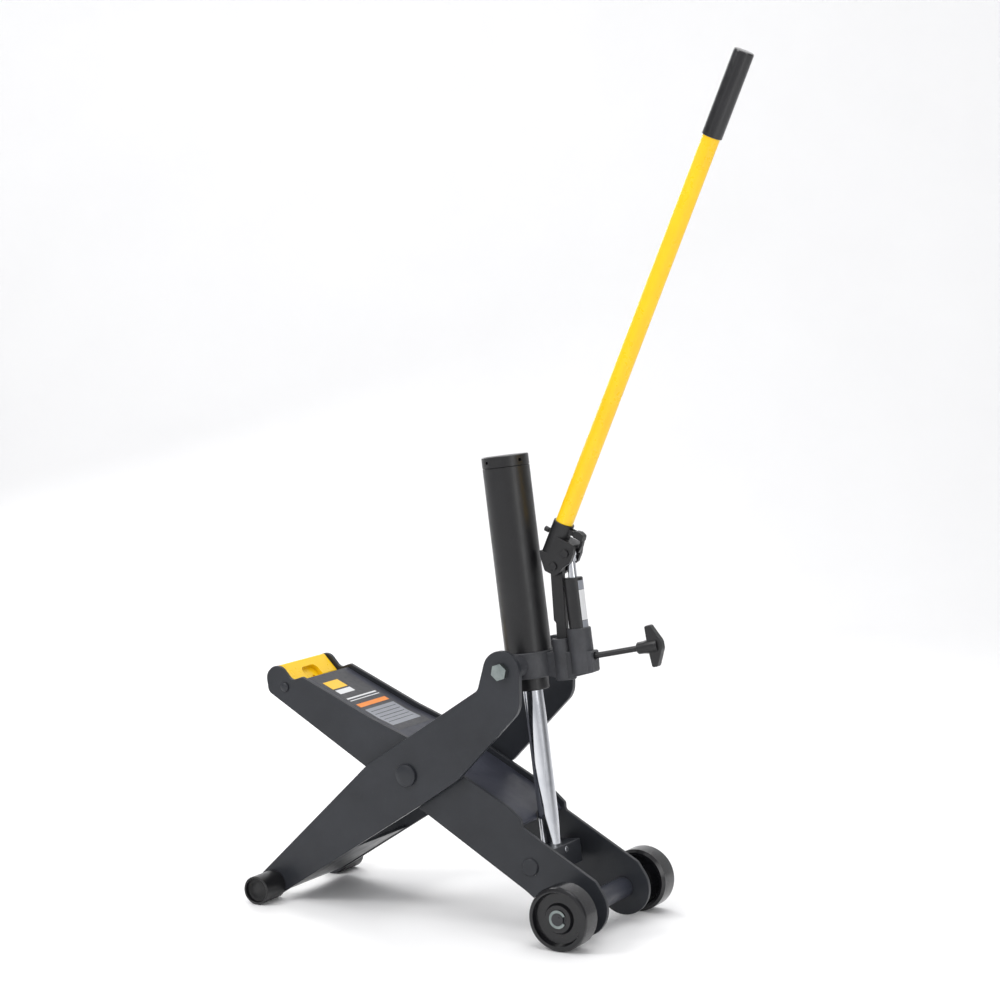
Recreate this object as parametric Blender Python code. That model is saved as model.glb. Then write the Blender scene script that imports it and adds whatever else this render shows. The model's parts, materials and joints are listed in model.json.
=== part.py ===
"""Forklift jack: two crossed pairs of side plates, opened by a hydraulic unit.

Metres, +Z up. The rear axle runs along Y and the saddle points to -X. Each
moving group hangs from an empty that stands on its joint's axis and is turned
so that its own X and Z run along the arm, the ram or the lever.
"""

import math

import bmesh
import bpy
from mathutils import Matrix, Vector

# ---------------------------------------------------------------- dimensions
MM = 0.001
GAP = 0.3 * MM                  # clearance between touching pieces

AXLE_X = 172.08 * MM             # axle, from the middle of the object's length
WHEEL_RADIUS = 50.0 * MM
WHEEL_OUTER_Y = 157.7 * MM
WHEEL_WIDTH = 42.0 * MM
AXLE_RADIUS = 10.0 * MM

ARM_LEAN = math.radians(30.8)   # inner arm, raised
CROSS_TO_AXLE = 351.8 * MM
CROSS_TO_FOOT = 328.5 * MM
LINK_RADIUS = 248.0 * MM        # cross pin to trunnion, and to ram pin
TRUNNION_ANGLE = math.radians(7.6)  # trunnion above the foot-to-cross line
FOOT_RADIUS = 23.0 * MM
FOOT_END_Y = 147.2 * MM

OUTER_FACE = 95.2 * MM          # outer plates' outer face
OUTER_PLATE = 10.0 * MM
INNER_FACE = 77.1 * MM          # inner plates' outer face
INNER_PLATE = 7.5 * MM

RAM_RADIUS = 16.0 * MM
TUBE_RADIUS = 37.2 * MM
TUBE_TOP = 329.5 * MM           # above the trunnion
BLOCK_LENGTH = 50.0 * MM
PUMP_OFFSET = 94.6 * MM         # pump axis from the ram axis
BOSS_OFFSET = 62.0 * MM         # link boss from the ram axis
LEVER_LEAN = math.radians(30.45)  # handle, from the ram axis
HANDLE_RADIUS = 14.0 * MM
HANDLE_TOP = 843.0 * MM         # along the handle, from the fulcrum pin
HANDLE_OFFSET = -16.1 * MM      # handle axis beside the fulcrum pin
VALVE_RISE = math.radians(5.4)

# ------------------------------------------------------------ joint positions
AXLE = Vector((AXLE_X, 0.0, WHEEL_RADIUS))
CROSS = AXLE + CROSS_TO_AXLE * Vector((-math.cos(ARM_LEAN), 0, math.sin(ARM_LEAN)))
FOOT_LEAN = math.asin((CROSS.z - FOOT_RADIUS) / CROSS_TO_FOOT)
TRUNNION_LEAN = FOOT_LEAN + TRUNNION_ANGLE
TRUNNION = CROSS + LINK_RADIUS * Vector((math.cos(TRUNNION_LEAN), 0, math.sin(TRUNNION_LEAN)))
RAM_PIN = CROSS + LINK_RADIUS * Vector((math.cos(ARM_LEAN), 0, -math.sin(ARM_LEAN)))
RAM_LEAN = (TRUNNION_LEAN - ARM_LEAN) / 2   # ram from the vertical, towards -X
STROKE_LENGTH = (TRUNNION - RAM_PIN).length
SADDLE_PIN = (-267.5 * MM, -22.5 * MM)      # along and across the inner arm, from the cross
FULCRUM = (71.5 * MM, 150.0 * MM)           # in the hydraulic unit
LINK_FOOT = (64.0 * MM, 24.0 * MM)
PISTON_PIN_Z = 168.0 * MM
VALVE_START = (118.0 * MM, 4.5 * MM)


# ------------------------------------------------------------------- clearing
for old in list(bpy.data.objects):
    bpy.data.objects.remove(old, do_unlink=True)
for block in (bpy.data.meshes, bpy.data.materials, bpy.data.curves):
    for item in list(block):
        block.remove(item)


# ------------------------------------------------------------------ materials
def finish(name, colour, roughness, metallic=0.0):
    mat = bpy.data.materials.new(name)
    mat.use_nodes = True
    shader = mat.node_tree.nodes["Principled BSDF"]
    shader.inputs["Base Color"].default_value = (*colour, 1.0)
    shader.inputs["Roughness"].default_value = roughness
    shader.inputs["Metallic"].default_value = metallic
    mat.diffuse_color = (*colour, 1.0)
    return mat


CHARCOAL = finish("charcoal_paint", (0.045, 0.048, 0.052), 0.45)
CASTING = finish("grey_casting", (0.075, 0.08, 0.087), 0.5)
BLACK = finish("black_enamel", (0.012, 0.012, 0.014), 0.28)
YELLOW = finish("yellow_paint", (0.95, 0.55, 0.0), 0.35)
CHROME = finish("hard_chrome", (0.62, 0.65, 0.7), 0.12, 1.0)
ZINC = finish("zinc_plate", (0.62, 0.66, 0.64), 0.35, 1.0)
STEEL = finish("bare_steel", (0.4, 0.41, 0.43), 0.3, 1.0)
BRONZE = finish("bronze", (0.45, 0.3, 0.14), 0.35, 1.0)
RUBBER = finish("black_rubber", (0.015, 0.015, 0.016), 0.6)
GRIP = finish("vinyl_grip", (0.006, 0.006, 0.008), 0.25)


# -------------------------------------------------------------------- helpers
def body(name, at, turn=0.0):
    """The empty that carries one moving group: at its joint, turned about Y."""
    empty = bpy.data.objects.new(name, None)
    bpy.context.scene.collection.objects.link(empty)
    empty.empty_display_size = 0.03
    empty.location = at
    empty.rotation_euler = (0.0, turn, 0.0)
    return empty


def place(name, bm, parent, mat, smooth=35.0):
    bmesh.ops.remove_doubles(bm, verts=bm.verts, dist=1e-6)
    bmesh.ops.recalc_face_normals(bm, faces=bm.faces)
    mesh = bpy.data.meshes.new(name)
    bm.to_mesh(mesh)
    bm.free()
    mesh.shade_smooth()
    mesh.set_sharp_from_angle(angle=math.radians(smooth))
    obj = bpy.data.objects.new(name, mesh)
    bpy.context.scene.collection.objects.link(obj)
    obj.parent = parent
    if mat:
        mesh.materials.append(mat)
    return obj


AXES = {
    "X": Matrix(((0, 0, 1), (0, 1, 0), (-1, 0, 0))).to_4x4(),
    "Y": Matrix(((1, 0, 0), (0, 0, 1), (0, -1, 0))).to_4x4(),
    "Z": Matrix.Identity(4),
}


def lathe(profile, steps, axis="Z", at=(0, 0, 0), angle=math.tau, turn=0.0):
    """Turn (radius, height) points in millimetres about an axis. The height
    runs along +X, +Y or +Z. A profile that leaves the axis is a closed ring."""
    bm = bmesh.new()
    verts = [bm.verts.new((r * MM, 0.0, t * MM)) for r, t in profile]
    closed = profile[0][0] > 1e-6 or profile[-1][0] > 1e-6
    pairs = list(zip(verts, verts[1:]))
    if closed:
        pairs.append((verts[-1], verts[0]))
    edges = [bm.edges.new(pair) for pair in pairs]
    if angle < math.tau - 1e-6:
        face = bm.faces.new(verts)
        geom = [face] + list(face.edges) + list(face.verts)
    else:
        geom = verts + edges
    bmesh.ops.spin(bm, geom=geom, cent=(0, 0, 0), axis=(0, 0, 1), angle=angle, steps=steps)
    bmesh.ops.remove_doubles(bm, verts=bm.verts, dist=1e-6)
    spin = Matrix.Rotation(turn, 4, "Z")
    bm.transform(Matrix.Translation(at) @ AXES[axis] @ spin)
    return bm


def ring(inner, outer, low, high, steps, axis="Z", at=(0, 0, 0), chamfer=0.6):
    c = chamfer
    return lathe([(inner, low), (outer - c, low), (outer, low + c), (outer, high - c),
                  (outer - c, high), (inner, high)], steps, axis, at)


def rod(radius, low, high, steps, axis="Z", at=(0, 0, 0), chamfer=0.6):
    c = chamfer
    return lathe([(0, low), (radius - c, low), (radius, low + c), (radius, high - c),
                  (radius - c, high), (0, high)], steps, axis, at)


def rounded(corners, step=math.radians(18)):
    """An outline in millimetres from (x, z, radius) corners, with each corner
    turned into an arc of its radius."""
    points = []
    count = len(corners)
    for i, (x, z, r) in enumerate(corners):
        here = Vector((x, z))
        back = Vector(corners[i - 1][:2]) - here
        ahead = Vector(corners[(i + 1) % count][:2]) - here
        if r <= 0:
            points.append(here)
            continue
        a, b = back.normalized(), ahead.normalized()
        half = math.acos(max(-1.0, min(1.0, a.dot(b)))) / 2
        reach = r / math.tan(half)
        centre = here + (a + b).normalized() * (r / math.sin(half))
        start, end = here + a * reach, here + b * reach
        first = math.atan2(*(start - centre).yx)
        sweep = (math.atan2(*(end - centre).yx) - first + math.pi) % math.tau - math.pi
        parts = max(1, round(abs(sweep) / step))
        for k in range(parts + 1):
            turn = first + sweep * k / parts
            points.append(centre + r * Vector((math.cos(turn), math.sin(turn))))
    return points


def arc(cx, cz, r, first, last, parts):
    return [Vector((cx + r * math.cos(math.radians(first + (last - first) * k / parts)),
                    cz + r * math.sin(math.radians(first + (last - first) * k / parts))))
            for k in range(parts + 1)]


def prism(outline, low, high, plane="XZ"):
    """An outline in millimetres, extruded along the third axis."""
    bm = bmesh.new()
    def spot(p, t):
        if plane == "XZ":
            return (p[0] * MM, t * MM, p[1] * MM)
        if plane == "XY":
            return (p[0] * MM, p[1] * MM, t * MM)
        return (t * MM, p[0] * MM, p[1] * MM)
    face = bm.faces.new([bm.verts.new(spot(p, low)) for p in outline])
    grown = bmesh.ops.extrude_face_region(bm, geom=[face])
    lift = Vector(spot((0, 0), high - low))
    bmesh.ops.translate(bm, vec=lift, verts=[v for v in grown["geom"] if isinstance(v, bmesh.types.BMVert)])
    return bm


def box(x0, x1, y0, y1, z0, z1):
    return prism([(x0, z0), (x1, z0), (x1, z1), (x0, z1)], y0, y1)


def bevel(obj, width, segments=1, angle=40.0):
    mod = obj.modifiers.new("edge", "BEVEL")
    mod.width = width * MM
    mod.segments = segments
    mod.limit_method = "ANGLE"
    mod.angle_limit = math.radians(angle)
    mod.use_clamp_overlap = True
    return obj


def tool(name, bm, parent):
    """A cutter, or a shape to be joined on: never part of the object itself."""
    obj = place(name, bm, parent, None)
    obj.hide_render = True
    obj.display_type = "WIRE"
    return obj


def combine(obj, operation, others):
    for other in others:
        mod = obj.modifiers.new(other.name, "BOOLEAN")
        mod.operation = operation
        mod.solver = "EXACT"
        mod.object = other
    return obj


def cut(obj, *others):
    return combine(obj, "DIFFERENCE", others)


def join(obj, *others):
    return combine(obj, "UNION", others)


# ------------------------------------------------------------------ the bodies
rear_axle = body("rear_axle_body", AXLE)
inner_arm = body("inner_arm_body", AXLE, ARM_LEAN)
outer_arm = body("outer_arm_body", CROSS, -FOOT_LEAN)
hydraulics = body("hydraulic_unit_body", TRUNNION, -RAM_LEAN)
ram = body("ram_body", RAM_PIN, -RAM_LEAN)


def in_unit(x, z):
    """A point of the hydraulic unit's own frame, in world space."""
    return TRUNNION + Matrix.Rotation(-RAM_LEAN, 3, "Y") @ Vector((x, 0, z))


def in_inner(u, n):
    return CROSS + Matrix.Rotation(ARM_LEAN, 3, "Y") @ Vector((u, 0, n))


saddle_tilt = body("saddle_body", in_inner(*SADDLE_PIN), ARM_LEAN)
link_body = body("fulcrum_link_body", in_unit(*LINK_FOOT), -RAM_LEAN)
lever_body = body("pump_lever_body", in_unit(*FULCRUM), LEVER_LEAN - RAM_LEAN)
piston_body = body("pump_piston_body", in_unit(PUMP_OFFSET, 0), -RAM_LEAN)
valve_body = body("release_valve_body", in_unit(*VALVE_START), -RAM_LEAN - VALVE_RISE)

# along the inner arm, plate outlines count from the cross pin
SHIFT = CROSS_TO_AXLE / MM

# ------------------------------------------------------------- axle and wheels
shaft_profile = [(0, -157.4), (9, -157.4), (10, -156.9), (10, -156.75), (9, -156.75), (9, -155.15), (10, -155.15),
                 (10, 155.15), (9, 155.15), (9, 156.75), (10, 156.75), (10, 156.9), (9, 157.4), (0, 157.4)]
place("axle_shaft", lathe(shaft_profile, 24, "Y"), rear_axle, STEEL)

for side, name in ((-1, "near"), (1, "far")):
    wheel = body(f"wheel_{name}_body", AXLE)
    inner = (WHEEL_OUTER_Y - WHEEL_WIDTH) / MM
    face = WHEEL_OUTER_Y / MM
    profile = [(13.3, inner + 1), (21, inner + 1), (23, inner + 8), (38, inner + 8), (41, inner), (45.5, inner),
               (50, inner + 4.5), (50, face - 5), (48.4, face - 1.5), (45, face), (42, face), (39, face - 8.5),
               (24.5, face - 8.5), (21.5, face - 3.2), (13.3, face - 3.2)]
    place(f"wheel_{name}", lathe([(r, side * t) for r, t in profile], 32, "Y"), wheel, BLACK)
    place(f"wheel_bushing_{name}", lathe([(10.35, side * t) if i in (0, 3) else (12.95, side * t)
          for i, t in enumerate((inner + 1.2, inner + 1.2, face - 3.4, face - 3.4))], 24, "Y"), wheel, BRONZE)
    clip = lathe([(9.35, side * 155.45), (14.2, side * 155.45), (14.2, side * 156.45), (9.35, side * 156.45)], 22, "Y",
                 angle=math.radians(306), turn=math.radians(27))
    place(f"retaining_ring_{name}", clip, rear_axle, ZINC)
    low, high = sorted((side * (INNER_FACE / MM + 0.3), side * (inner - 0.3)))
    place(f"wheel_spacer_{name}", ring(10.4, 15, low, high, 24, "Y"), rear_axle, STEEL)

# ------------------------------------------------------------------- inner arm
heel = [(p.x, p.y, 0) for p in arc(SHIFT, 0, 45.0, 68, -88, 12)]
inner_outline = [Vector((p.x - SHIFT, p.y)) for p in rounded(
    [(-290, -47.6, 14), (-309, -25, 19), (-302, 5.5, 18), (-263, -6.5, 11), (-249.5, 10.8, 5), (-110, 29.7, 200),
     (-34, 44.2, 120), (80, 51.4, 200), (168, 57.6, 30), (196, 53.5, 6), (203, 44.0, 7), (350, 49.8, 12)]
    + heel + [(262, -37.2, 60)])]
for side, name in ((-1, "near"), (1, "far")):
    low, high = sorted((side * (INNER_FACE - INNER_PLATE) / MM, side * INNER_FACE / MM))
    plate = bevel(place(f"inner_plate_{name}", prism(inner_outline, low, high), inner_arm, CHARCOAL), 1.0)
    holes = [
        ("axle", 0, 0, 10.6), ("cross", -SHIFT, 0, 12.6), ("ram", LINK_RADIUS / MM - SHIFT, 0, 14.5),
        ("saddle", SADDLE_PIN[0] / MM - SHIFT, SADDLE_PIN[1] / MM, 8.0)]
    for label, x, z, r in holes:
        cut(plate, tool(f"cut_inner_{name}_{label}", rod(r, low - 5, high + 5, 18, "Y", (x * MM, 0, z * MM), 0), inner_arm))

INNER_GAP = (INNER_FACE - INNER_PLATE) / MM - GAP / MM
web_top = [(-250, 4.0), (-232, 5.8), (-110, 22.0), (-72, 30.6), (-34, 36.2), (80, 43.4), (165, 48.8), (190, 45.8), (196.5, 43.6)]
web_outline = [Vector((u - SHIFT, n)) for u, n in web_top] + [Vector((u - SHIFT, n - 6.0)) for u, n in reversed(web_top)]
web = bevel(place("inner_web", prism(web_outline, -INNER_GAP, INNER_GAP), inner_arm, CHARCOAL), 0.8)
notch_at = Vector(((LINK_RADIUS - CROSS_TO_AXLE), 0, 0))
notch = rod(19.0, 0, 120, 24, "Z", (0, 0, 0), 0)
notch.transform(Matrix.Translation(notch_at) @ Matrix.Rotation(-RAM_LEAN - ARM_LEAN, 4, "Y"))
cut(web, tool("cut_web_ram", notch, inner_arm))
place("axle_tube", ring(10.6, 16.5, -INNER_GAP, INNER_GAP, 22, "Y"), inner_arm, CHARCOAL)
toe_at = (SADDLE_PIN[0] - CROSS_TO_AXLE, 0, SADDLE_PIN[1])
for side, name in ((-1, "near"), (1, "far")):
    pin = [(0, side * 34), (6.9, side * 34), (7.7, side * 35), (7.7, side * 78), (7.2, side * 79.4), (5, side * 80.6), (0, side * 81)]
    place(f"saddle_pin_{name}", lathe(pin, 24, "Y", toe_at), inner_arm, CHARCOAL)
ram_at = (LINK_RADIUS - CROSS_TO_AXLE, 0, 0)
place("ram_pin", lathe([(0, -80.0), (12.6, -80.0), (14.2, -78.6), (14.2, -68), (9, -68), (9, 68), (14.2, 68), (14.2, 78.6), (12.6, 80.0), (0, 80.0)],
                       28, "Y", ram_at), inner_arm, CHARCOAL)

# ---------------------------------------------------------------------- saddle
pad = rounded([(-32.5, 20.6, 3), (3.5, 11.6, 3), (10.5, 4, 3), (9, -9, 4), (-3, -14, 6), (-24, -10, 6), (-36, 6, 6)], math.radians(30))
saddle = bevel(place("saddle", prism(pad, -67, 67), saddle_tilt, YELLOW), 1.5, 1)
POCKET_LEAN = Matrix.Rotation(math.radians(14), 4, "Y")   # the pad slopes down to the rear
pocket = prism(rounded([(-21, -23, 11), (40, -23, 0), (40, 23, 0), (-21, 23, 11)]), 4.2, 40, "XY")
pocket.transform(POCKET_LEAN)
grease_hole = rod(4.2, -2, 12, 20, "Z", (-1 * MM, 8 * MM, 0), 0)
grease_hole.transform(POCKET_LEAN)
cut(saddle, tool("cut_saddle_pin_near", rod(8.1, -90, -33, 24, "Y", chamfer=0), saddle_tilt),
    tool("cut_saddle_pin_far", rod(8.1, 33, 90, 24, "Y", chamfer=0), saddle_tilt),
    tool("cut_saddle_pocket", pocket, saddle_tilt),
    tool("cut_saddle_hole", grease_hole, saddle_tilt))

# ------------------------------------------------------------------- outer arm
ear = [(p.x, p.y, 0) for p in arc(LINK_RADIUS / MM * math.cos(TRUNNION_ANGLE), LINK_RADIUS / MM * math.sin(TRUNNION_ANGLE), 32.0,
                                  -math.degrees(FOOT_LEAN), 126, 12)]
outer_outline = rounded([(-353, -18.0, 20), (-10, -51.6, 300), (73.5, -57.6, 10), (232.6, -34.8, 36)] + ear
                        + [(192.5, 33.4, 13), (-54, 53.6, 70), (-353.5, 24.5, 22)])
for side, name in ((-1, "near"), (1, "far")):
    low, high = sorted((side * (OUTER_FACE - OUTER_PLATE) / MM, side * OUTER_FACE / MM))
    plate = bevel(place(f"outer_plate_{name}", prism(outer_outline, low, high), outer_arm, CHARCOAL), 1.1)
    t_at = (LINK_RADIUS * math.cos(TRUNNION_ANGLE), 0, LINK_RADIUS * math.sin(TRUNNION_ANGLE))
    cut(plate, tool(f"cut_outer_{name}_cross", rod(12.6, low - 5, high + 5, 18, "Y", chamfer=0), outer_arm))
    cut(plate, tool(f"cut_outer_{name}_trunnion", rod(10.4, low - 5, high + 5, 18, "Y", t_at, 0), outer_arm))
    f_at = (-CROSS_TO_FOOT, 0, 0)
    low, high = sorted((side * (OUTER_FACE + GAP) / MM, side * FOOT_END_Y / MM))
    inside = [(19.6, side * (OUTER_FACE / MM + 0.3)), (23, side * (OUTER_FACE / MM + 0.3)), (23, side * 146.0), (21.9, side * 147.2),
              (20.4, side * 147.2), (19.6, side * 146.4)]
    place(f"foot_tube_{name}", lathe(inside, 28, "Y", f_at, turn=FOOT_LEAN), outer_arm, BLACK)
    plug = [(0, side * 134), (19.3, side * 134), (19.3, side * 140), (16, side * 139.2), (12.5, side * 139.2), (9, side * 141), (0, side * 141.8)]
    place(f"foot_plug_{name}", lathe(plug, 24, "Y", f_at, turn=FOOT_LEAN), outer_arm, RUBBER)
    low, high = sorted((side * (INNER_FACE / MM + 0.3), side * ((OUTER_FACE - OUTER_PLATE) / MM - 0.3)))
    place(f"pivot_spacer_{name}", ring(12.5, 24, low, high, 22, "Y"), outer_arm, STEEL)

OUTER_GAP = (OUTER_FACE - OUTER_PLATE - GAP) / MM
brace = [Vector((-322, -19.3)), Vector((-169, -34.6)), Vector((-168.4, -29.4)), Vector((-321.6, -14.0))]
bevel(place("outer_web", prism(brace, -OUTER_GAP, OUTER_GAP), outer_arm, CHARCOAL), 0.8)

out = OUTER_FACE / MM
dome = [(18, out + 0.4), (18, out + 3.4), (17.2, out + 5.0), (13, out + 6.6), (7, out + 7.3), (0, out + 7.5)]
place("pivot_pin", lathe([(0, -out - 7.5)] + [(r, -t) for r, t in reversed(dome[:-1])] + [(12.2, -out - 0.4), (12.2, out + 3.0), (0, out + 3.0)],
                         32, "Y"), outer_arm, CHARCOAL)
place("pivot_cap", lathe([(0, out + 3.4), (12.5, out + 3.4), (12.5, out + 0.4)] + dome, 24, "Y"), outer_arm, CHARCOAL)

# -------------------------------------------------------------- hydraulic unit
block = place("hydraulic_block", lathe([(0, -22), (39.5, -22), (41, -20.5), (41, 17.5), (39.5, 19), (0, 19)], 28), hydraulics, CASTING)
arm_side = [Vector(p) for p in ((32, -20.3), (64, -28.6), (114.5, -20.6), (116.3, -18.8), (117.6, 11), (116.0, 12.8), (90, 14.2), (32, 16.2))]
arm_shape = prism(arm_side, -13.0, 13.0)
join(block,
     bevel(tool("add_arm", arm_shape, hydraulics), 1.5),
     tool("add_link_boss", lathe([(0, -30), (15.5, -30), (16.5, -28.5), (16.5, 34), (15.4, 35.5), (0, 35.5)], 24, "Z",
                                 (BOSS_OFFSET, 0, 0)), hydraulics),
     tool("add_pump_boss", lathe([(0, -21), (18.4, -21), (19.4, -20), (18.6, 49), (17.2, 50.2), (0, 50.2)], 24, "Z",
                                 (PUMP_OFFSET, 0, 0)), hydraulics),
     tool("add_trunnion", rod(17.0, -84.6, 84.6, 22, "Y", chamfer=0.8), hydraulics))
cut(block,
    tool("cut_link_slot", box(BOSS_OFFSET / MM - 12, BOSS_OFFSET / MM + 12.4, -5.4, 5.4, 9, 40), hydraulics),
    tool("cut_cylinder_bore", rod(26.35, -30, 30, 32, chamfer=0), hydraulics),
    tool("cut_trunnion_near", rod(10.3, -90, -45, 18, "Y", chamfer=0), hydraulics),
    tool("cut_trunnion_far", rod(10.3, 45, 90, 18, "Y", chamfer=0), hydraulics),
    tool("cut_link_pin", rod(4.3, -12, 20, 16, "Y", (LINK_FOOT[0], 0, LINK_FOOT[1]), 0), hydraulics))
valve_hole = rod(6.2, -16, 20, 20, "X", (0, 0, 0), 0)
valve_hole.transform(Matrix.Translation((VALVE_START[0], 0, VALVE_START[1])) @ Matrix.Rotation(-VALVE_RISE, 4, "Y"))
cut(block, tool("cut_valve", valve_hole, hydraulics),
    tool("cut_pump_bore", rod(15.65, 20, 60, 24, "Z", (PUMP_OFFSET, 0, 0), 0), hydraulics))
for mod in block.modifiers:
    mod.solver = "MANIFOLD"

place("gland_nut", lathe([(16.5, -42), (25.6, -42), (26.8, -40.8), (26.8, -22.4), (26.0, -22.4), (26.0, -17), (16.5, -17)], 28), hydraulics, BLACK)
place("pressure_cylinder", lathe([(20.8, -16.6), (26, -16.6), (26, 299), (20.8, 299)], 22), hydraulics, STEEL)
WALL = TUBE_RADIUS / MM
place("reservoir_tube", lathe([(WALL - 3, 19.4), (WALL, 19.4), (WALL, 311.0), (WALL - 0.7, 311.7), (WALL - 3, 311.7)], 32), hydraulics, BLACK)
cap = place("top_cap", lathe([(0, 302), (WALL - 3.4, 302), (WALL - 3.4, 312), (WALL - 0.7, 312), (WALL, 312.7), (WALL, 328.3), (WALL - 1.2, 329.5), (0, 329.5)], 32),
            hydraulics, BLACK)
for k in range(4):
    spot = rod(2.8, 31.5, 44, 10, "X", (0, 0, 321.0 * MM), 0)
    spot.transform(Matrix.Rotation(math.radians(90 * k - 23), 4, "Z"))
    cut(cap, tool(f"cut_cap_{k}", spot, hydraulics))
place("filler_plug", lathe([(0, 37.5), (6, 37.5), (6.5, 38.1), (6.5, 39.6), (5, 41), (0, 41.4)], 20, "Y", (0, 0, 0.262)), hydraulics, RUBBER)

place("pump_barrel", lathe([(0, 20.4), (15.3, 20.4), (15.3, 127.8), (14.2, 129), (7.4, 129), (7.4, 48), (0, 48)], 22, "Z", (PUMP_OFFSET, 0, 0)),
      hydraulics, BLACK)
place("link_pin_lower", rod(4.0, -11.6, 17.0, 16, "Y", (LINK_FOOT[0], 0, LINK_FOOT[1]), 0.5), hydraulics, STEEL)

for side, name in ((-1, "near"), (1, "far")):
    # hexagon 27 mm across flats, with a turned chamfer under its corners
    bolt = bmesh.new()
    flat = 13.5
    hexagon = [Vector((flat / math.cos(math.radians(30)) * math.cos(math.radians(60 * k + 12)),
                       flat / math.cos(math.radians(30)) * math.sin(math.radians(60 * k + 12)))) for k in range(6)]
    low, high = sorted((side * (out + 0.4), side * (out + 8.0)))
    bolt.free()
    head = place(f"trunnion_bolt_{name}", prism(hexagon, low, high), hydraulics, ZINC)
    crown = lathe([(0, side * 40), (22, side * 40), (22, side * (out + 4.4)), (13.0, side * (out + 9.2)), (0, side * (out + 9.2))], 24, "Y")
    combine(head, "INTERSECT", [tool(f"crown_{name}", crown, hydraulics)])
    low, high = sorted((side * 47, side * (out + 1.0)))
    join(head, tool(f"shank_{name}", rod(10.0, low, high, 24, "Y", chamfer=0), hydraulics))

# ------------------------------------------------------------ pump link, piston
link_height = math.hypot(FULCRUM[0] - LINK_FOOT[0], FULCRUM[1] - LINK_FOOT[1]) / MM
lean = math.atan2(FULCRUM[0] - LINK_FOOT[0], FULCRUM[1] - LINK_FOOT[1])
strap = (arc(0, 0, 8.5, 180, 360, 8) + [Vector((8.5, link_height - 16))] + arc(0, link_height, 11.0, -24, 180, 9)
         + [Vector((-12, link_height - 12)), Vector((-12, 40)), Vector((-8.5, 36))])
strap_mesh = prism(strap, -5, 5)
strap_mesh.transform(Matrix.Rotation(lean, 4, "Y"))
link = bevel(place("fulcrum_link", strap_mesh, link_body, CHARCOAL), 0.7)
cut(link, tool("cut_link_low", rod(4.3, -9, 9, 16, "Y", chamfer=0), link_body))
cut(link, tool("cut_link_high", rod(4.3, -9, 9, 16, "Y", (FULCRUM[0] - LINK_FOOT[0], 0, FULCRUM[1] - LINK_FOOT[1]), 0), link_body))

piston = place("pump_piston", rod(6.9, 72, 159, 20, chamfer=0.5), piston_body, CHROME)
eye_outline = arc(0, PISTON_PIN_Z / MM, 10.0, -40, 220, 14) + [Vector((-6.6, 154)), Vector((6.6, 154))]
join(piston, tool("add_eye", prism(eye_outline, -6, 6), piston_body))
cut(piston, tool("cut_eye", rod(5.6, -10, 10, 20, "Y", (0, 0, PISTON_PIN_Z), 0), piston_body))

# ------------------------------------------------------------------ pump lever
TX = HANDLE_OFFSET
TUBE_X = HANDLE_OFFSET / MM
socket = place("handle_socket", rod(16.8, 12, 67, 24, "Z", (TX, 0, 0), 0.8), lever_body, CHARCOAL)
ears = rounded([(-18, 45.6, 0), (-18, 14, 0), (-32.4, 13.2, 1.5), (-26, 3.2, 4), (-11, -13.2, 5), (10.5, -12.6, 4), (15.4, 4.2, 8), (24.2, 17.0, 5),
                (24.2, 31, 5), (20.4, 45.6, 2)])
CATCH_PIN = (4.2 * MM, 58.5 * MM)
join(socket, bevel(tool("add_ears", prism(ears, -17.2, 17.2), lever_body), 0.8),
     tool("add_lug_near", box(-4, 7.4, -6.6, -3.8, 54.7, 62.3), lever_body),
     tool("add_lug_far", box(-4, 7.4, 3.8, 6.6, 54.7, 62.3), lever_body))
cut(socket,
    tool("cut_clevis_low", box(-40, 45, -9.4, 9.4, -30, 13), lever_body),
    tool("cut_clevis_high", box(-4, 45, -9.4, 9.4, 5, 40.5), lever_body),
    tool("cut_handle_bore", rod(14.35, 24, 80, 24, "Z", (TX, 0, 0), 0), lever_body),
    tool("cut_fulcrum", rod(4.3, -25, 25, 16, "Y", chamfer=0), lever_body))
unit_in_lever = Matrix.Rotation(-LEVER_LEAN, 3, "Y")
pin_in_lever = unit_in_lever @ Vector((PUMP_OFFSET - FULCRUM[0], 0, PISTON_PIN_Z - FULCRUM[1]))
cut(socket, tool("cut_piston_pin", rod(4.3, -25, 25, 16, "Y", pin_in_lever, 0), lever_body),
    tool("cut_screw", rod(3.3, TUBE_X - 20, TUBE_X - 10, 14, "X", (0, 0, 44 * MM), 0), lever_body),
    tool("cut_catch_hole", rod(1.9, -12, 12, 12, "Y", (CATCH_PIN[0], 0, CATCH_PIN[1]), 0), lever_body))
pin_head = [(0, -20.6), (5.4, -20.6), (6.3, -19.9), (6.3, -17.6), (4, -17.6), (4, 18.6), (3.4, 19.2), (0, 19.2)]
place("fulcrum_pin", lathe(pin_head, 20, "Y"), lever_body, CHARCOAL)
place("piston_pin", lathe(pin_head, 20, "Y", pin_in_lever), lever_body, CHARCOAL)
place("handle_tube", lathe([(12, 30), (HANDLE_RADIUS / MM, 30), (HANDLE_RADIUS / MM, HANDLE_TOP / MM - 4), (12, HANDLE_TOP / MM - 4)], 24, "Z", (TX, 0, 0)),
      lever_body, YELLOW)
top = HANDLE_TOP / MM
place("handle_grip", lathe([(14.3, top - 135), (15.8, top - 135), (16.4, top - 134), (16.4, top - 3), (15.6, top - 0.8), (14, top), (0, top),
                            (0, top - 3.6), (14.3, top - 3.6)], 24, "Z", (TX, 0, 0)), lever_body, GRIP)
screw = lathe([(0, TUBE_X - 27.0), (3.4, TUBE_X - 27.0), (4.2, TUBE_X - 26.2), (4.2, TUBE_X - 19.5), (3.0, TUBE_X - 18.5), (3.0, TUBE_X - 14.7), (0, TUBE_X - 14.7)],
              16, "X", (0, 0, 44 * MM))
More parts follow.
